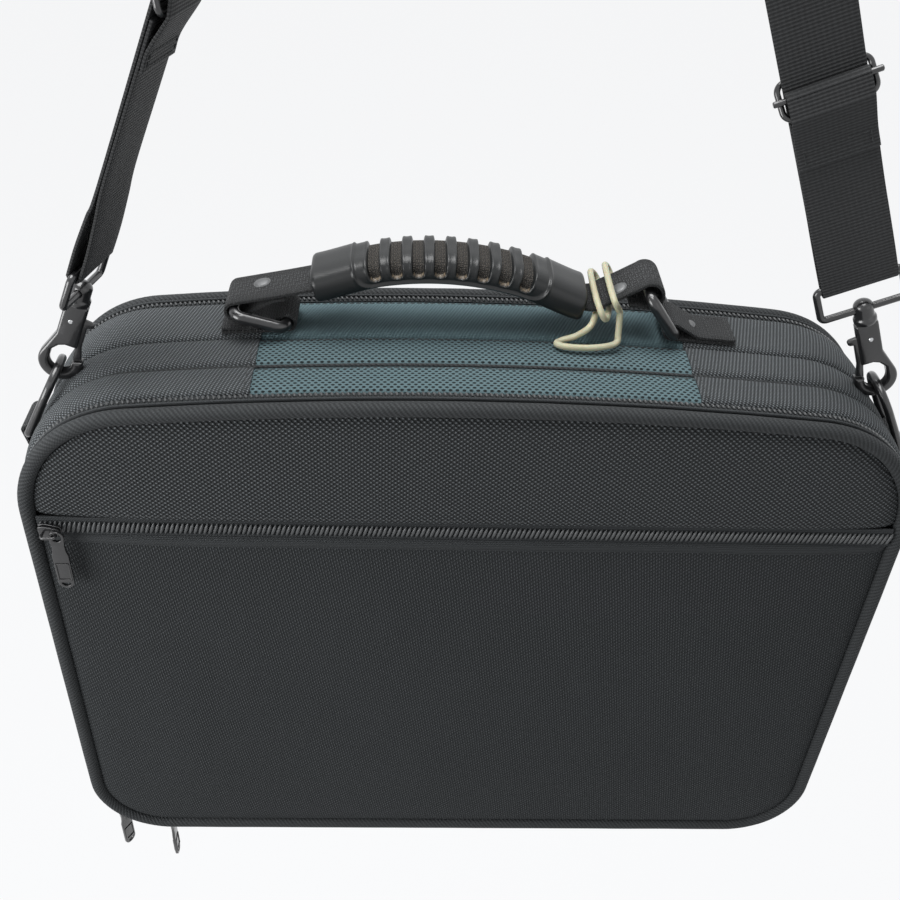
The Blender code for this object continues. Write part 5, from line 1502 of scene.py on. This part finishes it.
class BRIEFCASE_OT_grip(bpy.types.Operator):
    """Model the moulded grip with its eight rounded slots, parting bead and rounded ends"""
    bl_idname = "briefcase.grip"
    bl_label = "Moulded grip"

    def execute(self, context):
        route, first, last = handle_route(120)
        run = route[first:last + 1]
        ways = run_ways(route)[first:last + 1]
        section = oval(GRIP_WIDTH, GRIP_HEIGHT, 104, 0.62)
        floor = [(across * 0.95, rise * 0.95) for across, rise in oval(CORE_WIDTH, CORE_HEIGHT, 104, 0.6)]
        top = len(section) // 4
        girth = [0.0] * len(section)
        for way in (1, -1):
            walked = 0.0
            for i in range(1, len(section) // 2):
                a = section[(top + way * (i - 1)) % len(section)]
                b = section[(top + way * i) % len(section)]
                walked += hypot(b[0] - a[0], b[1] - a[1])
                girth[(top + way * i) % len(section)] = walked
        reach = max(g for g, (_, up) in zip(girth, section) if up > -0.0022)
        slots = [GRIP_OFFSET + (i - (SLOTS - 1) / 2) * SLOT_PITCH for i in range(SLOTS)]
        left = slots[0] - 0.0080
        right = slots[-1] + 0.0088
        round_end = 0.0024
        rows = []
        dust = []
        for place, way in zip(run, ways):
            from_end = min((place - run[0]).length, (place - run[-1]).length)
            pull_in = 0.0018 * (1.0 - sqrt(max(0.0, 1.0 - (1.0 - min(1.0, from_end / 0.0024)) ** 2)))
            up = Vector((-way.z, 0.0, way.x))
            a = min(abs(place.x - slot) for slot in slots) / way.x - SLOT_WIDTH * 0.57 + round_end
            ribbed = min(place.x - left, right - place.x)
            row = []
            for (across, rise), (floor_across, floor_rise), g in zip(section, floor, girth):
                size = hypot(across, rise)
                b = g - reach + round_end
                edge = hypot(max(a, 0.0), max(b, 0.0)) + min(max(a, b), 0.0) - round_end
                sunk = ease(0.5 - edge / 0.0008)
                lip = 0.0002 * exp(-((edge - 0.0009) / 0.0006) ** 2)
                u = 0.006 - ribbed
                v = g - reach - 0.0022 + 0.006
                border = hypot(max(u, 0.0), max(v, 0.0)) + min(max(u, v), 0.0) - 0.006
                step = 0.0008 * ease(0.5 - border / 0.0012)
                line = 0.00045 * exp(-((border - 0.0004) / 0.0006) ** 2)
                scale = (size - pull_in - step + lip + line) / size
                y = across * scale + (floor_across - across * scale) * sunk
                z = rise * scale + (floor_rise - rise * scale) * sunk
                row.append(place + Vector((0.0, y, 0.0)) + up * z)
                low = ease((g - reach + 0.0030) / 0.0016)
                dust.append(low * ease(1.0 - abs(edge + 0.0001) / 0.0008))
            rows.append(row)
        grip = skin(rows)
        layer = grip.data.attributes.new("dust", "FLOAT", "POINT")
        layer.data.foreach_set("value", dust)
        settle(grip, "grip_moulding", "handle", FINISHES["rubber"], ["handle_grip"], 60.0)
        return {"FINISHED"}


class BRIEFCASE_OT_tag_loop(bpy.types.Operator):
    """Model the milky plastic loop that is wound twice round the handle's webbing"""
    bl_idname = "briefcase.tag_loop"
    bl_label = "Tag loop"

    def execute(self, context):
        route = handle_route()[0]
        ways = run_ways(route)
        reach = HANDLE_WEB / 2 + TAG_SLACK + TAG_RADIUS
        lift = HANDLE_WEB_THICK / 2 + TAG_SLACK + TAG_RADIUS
        corners = []
        for x in TAG_WRAPS:
            near = min(range(len(route) // 2, len(route)), key=lambda i: abs(route[i].x - x))
            up = Vector((-ways[near].z, 0.0, ways[near].x)) * lift
            side = Vector((0.0, reach, 0.0))
            middle = route[near] + ways[near] * ((x - route[near].x) / ways[near].x)
            corners += [middle - side - up, middle - side + up, middle + side + up, middle + side - up]
        start = corners[0]
        end = corners[4] + Vector((TAG_WRAPS[1] - TAG_WRAPS[0], 0.0, -TAG_SLACK))
        rest = BAG_HEIGHT + TAG_RADIUS + CLEAR
        away = end.y - TAG_RADIUS * 2

        def lying(x, shares, lift_share=0.0):
            return Vector((x, away - TAG_RADIUS * shares, rest + (end.z - rest) * lift_share))

        slack = [end, lying(end.x - TAG_REACH * 0.4, 0.0, 0.35), lying(end.x - TAG_REACH * 0.85, 0.6, 0.05)]
        slack += [lying(end.x - TAG_REACH, 2.2), lying(end.x - TAG_REACH * 0.7, 3.8), lying(end.x, 4.0)]
        slack += [lying(start.x - TAG_RADIUS, 2.4, 0.1), lying(start.x, 0.2, 0.5)]
        run = smooth_run(corners + slack + [start], 10)
        loop = wire(run[:-1], TAG_RADIUS, True)
        settle(loop, "tag_loop_tube", "handle", FINISHES["plastic"], ["tag_loop"], 60.0)
        return {"FINISHED"}


# Shoulder strap and its hardware

def leg_frame(side):
    """Hook frame of one strap leg at the side ring's top: inboard, thickness and up the leg."""
    inboard = Vector((-side * cos(LEG_ANGLE), 0.0, -sin(LEG_ANGLE)))
    up = Vector((-side * sin(LEG_ANGLE), 0.0, cos(LEG_ANGLE)))
    return frame_at((side * RING_TOP_X, STRAP_Y, RING_TOP_Z), inboard, (0.0, -side, 0.0), up)


def web_frame(side):
    """Webbing frame of one strap leg: across the webbing, out of its face and up the leg."""
    hook = leg_frame(side)
    inboard = hook.col[0].to_3d()
    up = hook.col[2].to_3d()
    if side < 0:
        return frame_at(hook.translation, (0, 1, 0), -inboard, up) @ Matrix.Rotation(-LEFT_STRAP_TURN, 4, "Z")
    return frame_at(hook.translation, -inboard, (0, 1, 0), up)


def leg_route(side, adjuster):
    """Webbing of one leg, from its cut end under the adjuster round the loop and up."""
    matrix = web_frame(side)
    wrap = LOOP_WIRE / 2 + CLEAR + STRAP_THICK / 2
    layer = (STRAP_THICK + LAYER_GAP) / 2
    parted = LOOP_HIGH + SPREAD_LENGTH
    parting = ((0.55, 0.65), (1.0, 0.3))
    cut_end = adjuster - ADJUSTER_HALF_HEIGHT - ADJUSTER_WIRE
    route = [(-layer, cut_end), (-layer, (cut_end + parted) / 2), (-layer, parted)]
    route += [(-layer - (wrap - layer) * share, LOOP_HIGH + SPREAD_LENGTH * up) for share, up in parting]
    route += arc((0.0, LOOP_HIGH), wrap, 180.0, 360.0, 8)
    route += [(layer + (wrap - layer) * share, LOOP_HIGH + SPREAD_LENGTH * up) for share, up in parting[::-1]]
    route += [(layer, parted), (layer, adjuster), (layer, TWIST_START)]
    places = [matrix @ Vector((0.0, out, up)) for out, up in route]
    return places, [matrix.col[0].to_3d()] * len(places), matrix


class BRIEFCASE_OT_shoulder_strap(bpy.types.Operator):
    """Model the shoulder strap as one length of ribbed webbing"""
    bl_idname = "briefcase.shoulder_strap"
    bl_label = "Shoulder strap"

    def execute(self, context):
        layer = (STRAP_THICK + LAYER_GAP) / 2
        right, right_across, matrix = leg_route(1, RIGHT_ADJUSTER)
        wide = matrix.col[0].to_3d()
        out = matrix.col[1].to_3d()
        for i in range(1, 11):
            up = TWIST_START + (LEG_LENGTH - TWIST_START) * i / 10
            turn = pi / 2 * min(1.0, (up - TWIST_START) / (TWIST_END - TWIST_START))
            right.append(matrix @ Vector((0.0, layer * (1.0 - i / 10), up)))
            right_across.append(wide * cos(turn) + out * sin(turn))
        left, left_across, matrix = leg_route(-1, LEFT_ADJUSTER)
        for i in range(1, 4):
            up = TWIST_START + (LEG_LENGTH - TWIST_START) * i / 3
            left.append(matrix @ Vector((0.0, layer * (1.0 - i / 3), up)))
            left_across.append(Matrix.Rotation(LEFT_STRAP_TURN * i / 3, 3, matrix.col[2].to_3d()) @ left_across[0])
        sweep = LEG_ANGLE * 180.0 / pi
        over = arc((0.0, HANG_CENTRE_Z), HANG_RADIUS, sweep, 180.0 - sweep, 12)[1:-1]
        right += [Vector((x, STRAP_Y, z)) for x, z in over]
        right_across += [Vector((0.0, 1.0, 0.0))] * len(over)
        strap = webbing(right + left[::-1], right_across + left_across[::-1], STRAP_WIDTH, STRAP_THICK, 6)
        settle(strap, "strap_webbing_cloth", "strap", FINISHES["strap"], ["shoulder_strap"])
        return {"FINISHED"}


class BRIEFCASE_OT_adjusters(bpy.types.Operator):
    """Model the strap's two sliding adjusters and the sewn webbing ends over their bars"""
    bl_idname = "briefcase.adjusters"
    bl_label = "Strap adjusters"

    def execute(self, context):
        sizes = context.scene.briefcase_sizes
        radius = ADJUSTER_WIRE / 2
        half = STRAP_WIDTH / 2 + LOOP_SIDE_GAP + radius
        tall = ADJUSTER_HALF_HEIGHT
        bend = tall / 2
        flat = arc((half - bend, tall - bend), bend, 0.0, 90.0, 10) + arc((-half + bend, tall - bend), bend, 90.0, 180.0, 10)
        flat += arc((-half + bend, -tall + bend), bend, 180.0, 270.0, 10) + arc((half - bend, -tall + bend), bend, 270.0, 360.0, 10)
        off = ADJUSTER_WIRE + CLEAR
        out = -off * cos(ADJUSTER_TILT)
        up = off * sin(ADJUSTER_TILT)
        reach = half + radius + ADJUSTER_BAR_OVERHANG
        rail = -tall * sin(ADJUSTER_TILT) - radius - CLEAR - STRAP_THICK / 2
        flat_out = -STRAP_THICK * 1.5 - LAYER_GAP / 2 - CLEAR
        route = [(flat_out, -TAIL_LENGTH), (flat_out, -TAIL_LENGTH * 0.7), (rail, -tall * cos(ADJUSTER_TILT) - radius)]
        route += [(rail, -tall * cos(ADJUSTER_TILT) + radius)]
        route += arc((out, up), radius + CLEAR + STRAP_THICK / 2, 180.0, 40.0, 8)
        for (name, side), height in zip(SIDES, (LEFT_ADJUSTER, RIGHT_ADJUSTER)):
            body = name + "_adjuster"
            matrix = web_frame(side) @ Matrix.Translation((0.0, 0.0, height))
            points = [matrix @ Vector((across, v * sin(ADJUSTER_TILT), v * cos(ADJUSTER_TILT))) for across, v in flat]
            settle(wire(points, radius, True), body + "_wire", body, FINISHES["enamel"], [body + "_frame"], 60.0)
            ends = [(0.0, -reach), (radius * 0.7, -reach), (radius, -reach + 0.0004), (radius, reach - 0.0004),
                    (radius * 0.7, reach), (0.0, reach)]
            turn = matrix @ Matrix.Translation((0.0, out, up)) @ Matrix.Rotation(pi / 2, 4, "Y")
            settle(turned(ends, turn, 24), body + "_rod", body, FINISHES["enamel"], [body + "_bar"])
            places = [matrix @ Vector((0.0, away, along)) for away, along in route]
            tail = webbing(places, [matrix.col[0].to_3d()] * len(places), STRAP_WIDTH, STRAP_THICK)
            settle(tail, name + "_sewn_end", body, FINISHES["strap"], [name + "_strap_tail"])
            inset = STRAP_WIDTH / 2 - 0.003
            face = flat_out - STRAP_THICK / 2
            box = [matrix @ Vector((across, face, along)) for across, along in (
                (-inset, -TAIL_LENGTH + 0.002), (inset, -TAIL_LENGTH + 0.002), (inset, -TAIL_LENGTH * 0.74), (-inset, -TAIL_LENGTH * 0.74))]
            sewn = stitches(sewn_box(box, -matrix.col[1].to_3d(), sizes), sizes)
            settle(sewn, name + "_sewn_end_stitches", body, FINISHES["thread"])
        return {"FINISHED"}


def hook_outline():
    """Shank, spine and open eye of the snap hook, in inboard and up the leg."""
    half = SHANK_WIDTH / 2
    eye = (0.0, EYE_CENTRE)
    outer = EYE_RADIUS + HOOK_ROD
    tip = HOOK_TIP_ANGLE
    points = [(half - 0.0008, SHANK_TOP), (-half + 0.0008, SHANK_TOP), (-half, SHANK_TOP - 0.0008), (-half, SHANK_FOOT + half)]
    points += arc(eye, outer, 155.0, 360.0 + tip, 40)
    points += arc(eye, EYE_RADIUS, 360.0 + tip, 180.0, 30)
    points += [(-EYE_RADIUS, EYE_CENTRE + EYE_RADIUS), (-half / 2, SHANK_FOOT - CLEAR * 4)]
    points += [(0.0, SHANK_FOOT), (half, SHANK_FOOT), (half, SHANK_TOP - 0.0008)]
    return points


def trigger_outline():
    """Lever from its pin to the gate's end, with the thumb catch on its inboard side."""
    px, ps = TRIGGER_PIVOT
    boss = TRIGGER_SLOT_FLOOR - CLEAR + px
    half = SHANK_WIDTH / 2
    eye = Vector((0.0, EYE_CENTRE))
    tip = radians(HOOK_TIP_ANGLE)
    way = Vector((cos(tip), sin(tip)))
    lift = Vector((-sin(tip), cos(tip))) * (CLEAR * 2)
    heel = eye + way * (EYE_RADIUS + CLEAR) + lift
    toe = eye + way * (EYE_RADIUS + HOOK_ROD - CLEAR * 2) + lift
    points = arc((px, ps), boss, 120.0, 270.0, 14)
    points += [(half - CLEAR * 5, SHANK_FOOT + boss), (heel.x - CLEAR * 2, SHANK_FOOT - boss)]
    points += [tuple(heel), tuple(toe), (half + boss, SHANK_FOOT), (half + boss * 0.9, ps - boss)]
    points += arc((half + boss * 1.55, ps), boss * 0.85, -75.0, 75.0, 10) + [(half, ps + boss)]
    return points


class BRIEFCASE_OT_snap_hooks(bpy.types.Operator):
    """Model the two swivel snap hooks: hook, trigger, pin, spring, swivel head and wire loop"""
    bl_idname = "briefcase.snap_hooks"
    bl_label = "Snap hooks"

    def execute(self, context):
        enamel = FINISHES["enamel"]
        px, ps = TRIGGER_PIVOT
        half = HOOK_THICK / 2
        slot = TRIGGER_THICK / 2 + CLEAR
        room = (EYE_RADIUS + HOOK_ROD) * 2
        upright = Matrix(((1, 0, 0, 0), (0, 0, 1, 0), (0, 1, 0, 0), (0, 0, 0, 1)))
        profile = [(0.0, HEAD_LENGTH)]
        profile += [(HEAD_WAIST * sin(radians(a)), HEAD_LENGTH - HEAD_WAIST * 0.75 * (1 - cos(radians(a)))) for a in range(10, 91, 10)]
        profile += [(HEAD_WAIST, HEAD_LENGTH * 0.34), (HEAD_WAIST * 1.04, HEAD_LENGTH * 0.29), (HEAD_RADIUS * 0.96, HEAD_LENGTH * 0.25)]
        profile += [(HEAD_RADIUS, HEAD_LENGTH * 0.21), (HEAD_RADIUS, 0.0008), (HEAD_RADIUS * 0.93, 0.0002), (HEAD_RADIUS * 0.6, 0.0), (0.0, 0.0)]
        wide = STRAP_WIDTH / 2 + LOOP_SIDE_GAP + LOOP_WIRE / 2
        bend = LOOP_WIRE * 0.7
        loop = arc((wide - bend, LOOP_HIGH - bend), bend, 0.0, 90.0, 8) + arc((-wide + bend, LOOP_HIGH - bend), bend, 90.0, 180.0, 8)
        loop += arc((-wide + bend, LOOP_LOW + bend), bend, 180.0, 270.0, 8) + arc((wide - bend, LOOP_LOW + bend), bend, 270.0, 360.0, 8)
        for name, side in SIDES:
            matrix = leg_frame(side)
            body = plate([hook_outline()], HOOK_THICK, HOOK_EDGE, upright)
            trench = block((-TRIGGER_SLOT_FLOOR, -slot, SHANK_FOOT - HOOK_ROD / 2), (room, slot, ps + HOOK_ROD), 0.0)
            stem = turned([(0.0, -STEM_LENGTH), (STEM_RADIUS, -STEM_LENGTH), (STEM_RADIUS, STEM_LENGTH - 0.0004),
                           (STEM_RADIUS - 0.0004, STEM_LENGTH), (0.0, STEM_LENGTH)], Matrix.Translation((0.0, 0.0, SHANK_TOP)), 24)
            body = joined([cut(body, [trench]), stem])
            body.data.transform(matrix)
            settle(body, name + "_hook_casting", name + "_hook", enamel, [name + "_hook_body"])
            hole = arc((px, ps), PIN_RADIUS + CLEAR, 0.0, 345.0, 23)
            lever = plate([trigger_outline(), hole], TRIGGER_THICK, 0.0005, matrix @ upright)
            settle(lever, name + "_trigger_lever", name + "_trigger", enamel, [name + "_hook_trigger"])
            head = [(0.0, -half - 0.0003), (PIN_RADIUS * 0.7, -half - 0.0003), (PIN_RADIUS, -half), (PIN_RADIUS, half),
                    (PIN_RADIUS * 0.7, half + 0.0003), (0.0, half + 0.0003)]
            turn = matrix @ Matrix.Translation((px, 0.0, ps)) @ Matrix.Rotation(pi / 2, 4, "X")
            settle(turned(head, turn, 20), name + "_trigger_pin", name + "_hook", FINISHES["steel"], [name + "_hook_pin"])
            seat = -TRIGGER_SLOT_FLOOR + CLEAR + SPRING_THICK / 2
            leaf = [Vector((seat, 0.0, SHANK_FOOT)), Vector((SPRING_THICK * 0.2, 0.0, SHANK_FOOT + HOOK_ROD / 2)),
                    Vector((seat, 0.0, SHANK_FOOT + HOOK_ROD))]
            spring = webbing(leaf, [Vector((0.0, 1.0, 0.0))] * 3, TRIGGER_THICK, SPRING_THICK, 6)
            spring.data.transform(matrix)
            settle(spring, name + "_leaf_spring", name + "_hook", FINISHES["steel"], [name + "_hook_spring"])
            barrel = turned([(r, HEAD_BASE + h) for r, h in profile], Matrix(), 40)
            turn = LEFT_STRAP_TURN if side < 0 else pi / 2
            bore = turned([(0.0, -room), (LOOP_WIRE / 2 + CLEAR, -room), (LOOP_WIRE / 2 + CLEAR, room), (0.0, room)],
                          Matrix.Translation((0.0, 0.0, LOOP_LOW)) @ Matrix.Rotation(-turn, 4, "Z") @ Matrix.Rotation(pi / 2, 4, "X"), 24)
            barrel = cut(barrel, [bore])
            barrel.data.transform(matrix)
            settle(barrel, name + "_swivel_barrel", "strap", enamel, [name + "_swivel_head"])
            web = web_frame(side)
            points = [web @ Vector((across, 0.0, up)) for across, up in loop]
            settle(wire(points, LOOP_WIRE / 2, True), name + "_strap_loop", "strap", enamel, [name + "_wire_loop"], 60.0)
        return {"FINISHED"}


class BRIEFCASE_OT_stage(bpy.types.Operator):
    """Make the camera at the photograph's angle, the pale floor and the soft studio light"""
    bl_idname = "briefcase.stage"
    bl_label = "Stage"

    def execute(self, context):
        scene = context.scene
        sizes = scene.briefcase_sizes
        scene.view_settings.view_transform = "Standard"
        yaw, pitch, roll = sizes.camera_turn
        ahead = Vector((sin(yaw) * cos(pitch), cos(yaw) * cos(pitch), -sin(pitch)))
        right = Vector((cos(yaw), -sin(yaw), 0.0))
        up = right.cross(ahead)
        level = right * cos(roll) + up * sin(roll)
        upright = up * cos(roll) - right * sin(roll)
        lens = bpy.data.cameras.new("camera")
        lens.sensor_width = 36.0
        lens.lens = sizes.camera_lens
        camera = bpy.data.objects.new("camera", lens)
        camera.matrix_world = frame_at(Vector(sizes.camera_place) + HANG_DOWN, level, upright, -ahead)
        scene.collection.objects.link(camera)
        scene.camera = camera

        bpy.ops.object.select_all(action="DESELECT")
        bpy.ops.mesh.primitive_plane_add(size=14.0, location=(0.0, 0.0, -1.55))
        floor = context.active_object
        bpy.ops.object.transform_apply(location=True)
        floor.name = "pale_floor"
        paper = Finish("pale_paper", specular_ior_level=0.2)
        grain = paper.mottle(40.0, 3.0)
        paper.colour(paper.mix(grain, (0.86, 0.87, 0.88, 1.0), (0.90, 0.91, 0.92, 1.0)))
        paper.roughness(0.9)
        path = paper.node("ShaderNodeLightPath", output="Is Camera Ray")
        for ray in ("Is Glossy Ray", "Is Transmission Ray"):
            path = path.maths("MAXIMUM", path, paper.node("ShaderNodeLightPath", output=ray))
        white = paper.node("ShaderNodeEmission", sockets={"Color": (0.985, 0.99, 1.0, 1.0), "Strength": 1.0})
        lit = Signal(paper, paper.shader.outputs[0])
        pale = paper.node("ShaderNodeMixShader", sockets={0: path * 0.9, 1: lit, 2: white})
        paper.feed(paper.tree.nodes["Material Output"].inputs["Surface"], pale)
        floor.data.materials.append(paper.material)

        lamps = (("key", (-0.25, 0.15, 1.1), 1.2, sizes.key_power), ("side", (-0.75, -0.47, -0.35), 0.5, sizes.key_power * 0.16),
                 ("fill", (1.3, -1.3, 0.2), 1.4, sizes.key_power * 0.06))
        for name, place, size, power in lamps:
            light = bpy.data.lights.new(name, "AREA")
            light.size = size
            light.energy = power
            lamp = bpy.data.objects.new(name, light)
            lamp.location = place
            lamp.rotation_euler = (Vector((-0.05, 0.0, -0.5)) - lamp.location).to_track_quat("-Z", "Y").to_euler()
            scene.collection.objects.link(lamp)

        world = bpy.data.worlds.new("studio")
        world.use_nodes = True
        nodes = world.node_tree.nodes
        links = world.node_tree.links
        seen = nodes.new("ShaderNodeLightPath")
        either = nodes.new("ShaderNodeMath")
        either.operation = "MAXIMUM"
        pale = nodes.new("ShaderNodeBackground")
        pale.inputs["Color"].default_value = (0.95, 0.96, 0.97, 1.0)
        soft = nodes["Background"]
        soft.inputs["Color"].default_value = (0.95, 0.97, 1.0, 1.0)
        soft.inputs["Strength"].default_value = sizes.sky_strength
        blend = nodes.new("ShaderNodeMixShader")
        any_of = nodes.new("ShaderNodeMath")
        any_of.operation = "MAXIMUM"
        links.new(seen.outputs["Is Camera Ray"], either.inputs[0])
        links.new(seen.outputs["Is Transmission Ray"], either.inputs[1])
        links.new(either.outputs[0], any_of.inputs[0])
        links.new(seen.outputs["Is Glossy Ray"], any_of.inputs[1])
        links.new(any_of.outputs[0], blend.inputs[0])
        links.new(soft.outputs[0], blend.inputs[1])
        links.new(pale.outputs[0], blend.inputs[2])
        links.new(blend.outputs[0], nodes["World Output"].inputs["Surface"])
        scene.world = world
        return {"FINISHED"}


# What a user can change

def length_property(name, description, default):
    return bpy.props.FloatProperty(name=name, description=description, default=default, min=0.0, precision=5,
                                   unit="LENGTH")


def colour_property(name, description, default):
    return bpy.props.FloatVectorProperty(name=name, description=description, default=default, size=3, min=0.0, max=1.0,
                                         subtype="COLOR")


class BriefcaseSizes(bpy.types.PropertyGroup):
    """Sizes of the weaves, stitches and stage"""
    weave_pitch: length_property("Upper weave", "Distance between dots along the upper panel's weave", 0.0027)
    pocket_pitch: length_property("Pocket weave", "Distance between dots along the pocket's weave", 0.00187)
    gusset_pitch: length_property("Gusset weave", "Distance between dots along the gusset's weave", 0.0019)
    zip_lap: length_property("Zip lap", "How far the pocket zip's tape laps over the pocket panel", 0.0036)
    strip_puff: length_property("Strip puff", "How far the gusset strips stand out between their seams", 0.0012)
    mesh_pitch: length_property("Mesh holes", "Distance between holes along the mesh", 0.0030)
    knit_pitch: length_property("Knit ribs", "Distance between ribs of the knitted panel", 0.0016)
    twill_pitch: length_property("Twill ridges", "Distance between ridges of the piping's cover", 0.0023)
    strap_rib: length_property("Strap ribs", "Distance between ribs of the shoulder strap", 0.0015)
    basket_pitch: length_property("Basket weave", "Size of a cell of the handle's weave", 0.0016)
    stitch_length: length_property("Stitch", "Length of a stitch", 0.0026)
    tooth_pitch: length_property("Zip teeth", "Distance between zip teeth", 0.0022)
    panel_swell: length_property("Panel swell", "How far the padded panels stand out in the middle", 0.0018)
    panel_pucker: length_property("Panel pucker", "Depth of the panels' soft folds", 0.0007)
    camera_lens: bpy.props.FloatProperty(name="Lens", description="Focal length of the camera", default=44.774, unit="CAMERA")
    camera_place: bpy.props.FloatVectorProperty(name="Camera", description="Place of the camera in the bag's frame",
                                                default=(-0.031176, -0.385337, 0.587771), unit="LENGTH")
    camera_turn: bpy.props.FloatVectorProperty(name="Camera turn", description="Yaw, pitch down and roll of the camera",
                                               default=(0.051427, 0.666182, 0.049811), unit="ROTATION")
    key_power: bpy.props.FloatProperty(name="Key light", description="Power of the main lamp", default=36.0, unit="POWER")
    sky_strength: bpy.props.FloatProperty(name="Sky", description="Strength of the light from all round", default=0.22)


class BriefcaseColours(bpy.types.PropertyGroup):
    """Colours of the finishes"""
    nylon: colour_property("Nylon", "Charcoal nylon of the panels", (0.0325, 0.0355, 0.0375))
    teal: colour_property("Teal", "Mesh and knit along the top", (0.111, 0.172, 0.188))
    webbing: colour_property("Webbing", "Black webbing", (0.022, 0.023, 0.024))
    lining: colour_property("Lining", "Lining cloth", (0.022, 0.022, 0.024))
    thread: colour_property("Thread", "Sewing thread", (0.034, 0.036, 0.037))
    coil: colour_property("Zip teeth", "Nylon of the zip teeth", (0.058, 0.061, 0.063))
    rubber: colour_property("Rubber", "Moulded grip", (0.0075, 0.0085, 0.009))
    dust: colour_property("Dust", "Dust in the grip's slots", (0.20, 0.155, 0.105))
    metal: colour_property("Enamel", "Black paint on metal", (0.011, 0.011, 0.012))
    steel: colour_property("Steel", "Bare steel", (0.56, 0.57, 0.58))
    tag: colour_property("Tag loop", "Milky plastic", (0.50, 0.485, 0.335))


PIECES = (
    BRIEFCASE_OT_stage,
    BRIEFCASE_OT_front_panels,
    BRIEFCASE_OT_pocket_zip,
    BRIEFCASE_OT_piping,
    BRIEFCASE_OT_gusset,
    BRIEFCASE_OT_zip_teeth,
    BRIEFCASE_OT_rear_panel,
    BRIEFCASE_OT_zip_sliders,
    BRIEFCASE_OT_side_rings,
    BRIEFCASE_OT_handle_rings,
    BRIEFCASE_OT_handle_webbing,
    BRIEFCASE_OT_grip,
    BRIEFCASE_OT_tag_loop,
    BRIEFCASE_OT_shoulder_strap,
    BRIEFCASE_OT_adjusters,
    BRIEFCASE_OT_snap_hooks,
)


class VIEW3D_PT_briefcase(bpy.types.Panel):
    """Sizes, colours and pieces of the briefcase"""
    bl_label = "Briefcase"
    bl_space_type = "VIEW_3D"
    bl_region_type = "UI"
    bl_category = "Briefcase"

    def draw(self, context):
        for group in (context.scene.briefcase_sizes, context.scene.briefcase_colours):
            column = self.layout.column()
            for key in group.bl_rna.properties.keys()[2:]:
                column.prop(group, key)
        for piece in PIECES:
            self.layout.operator(piece.bl_idname)


CLASSES = (BriefcaseSizes, BriefcaseColours, *PIECES, VIEW3D_PT_briefcase)


def register():
    for cls in CLASSES:
        bpy.utils.register_class(cls)
    bpy.types.Scene.briefcase_sizes = bpy.props.PointerProperty(type=BriefcaseSizes)
    bpy.types.Scene.briefcase_colours = bpy.props.PointerProperty(type=BriefcaseColours)


def unregister():
    del bpy.types.Scene.briefcase_colours
    del bpy.types.Scene.briefcase_sizes
    for cls in reversed(CLASSES):
        bpy.utils.unregister_class(cls)


def main():
    """Make the finishes, then every piece."""
    register()
    scene = bpy.context.scene
    make_finishes(scene.briefcase_colours, scene.briefcase_sizes)
    for piece in PIECES:
        group, name = piece.bl_idname.split(".")
        getattr(getattr(bpy.ops, group), name)()


if __name__ == "__main__":
    main()
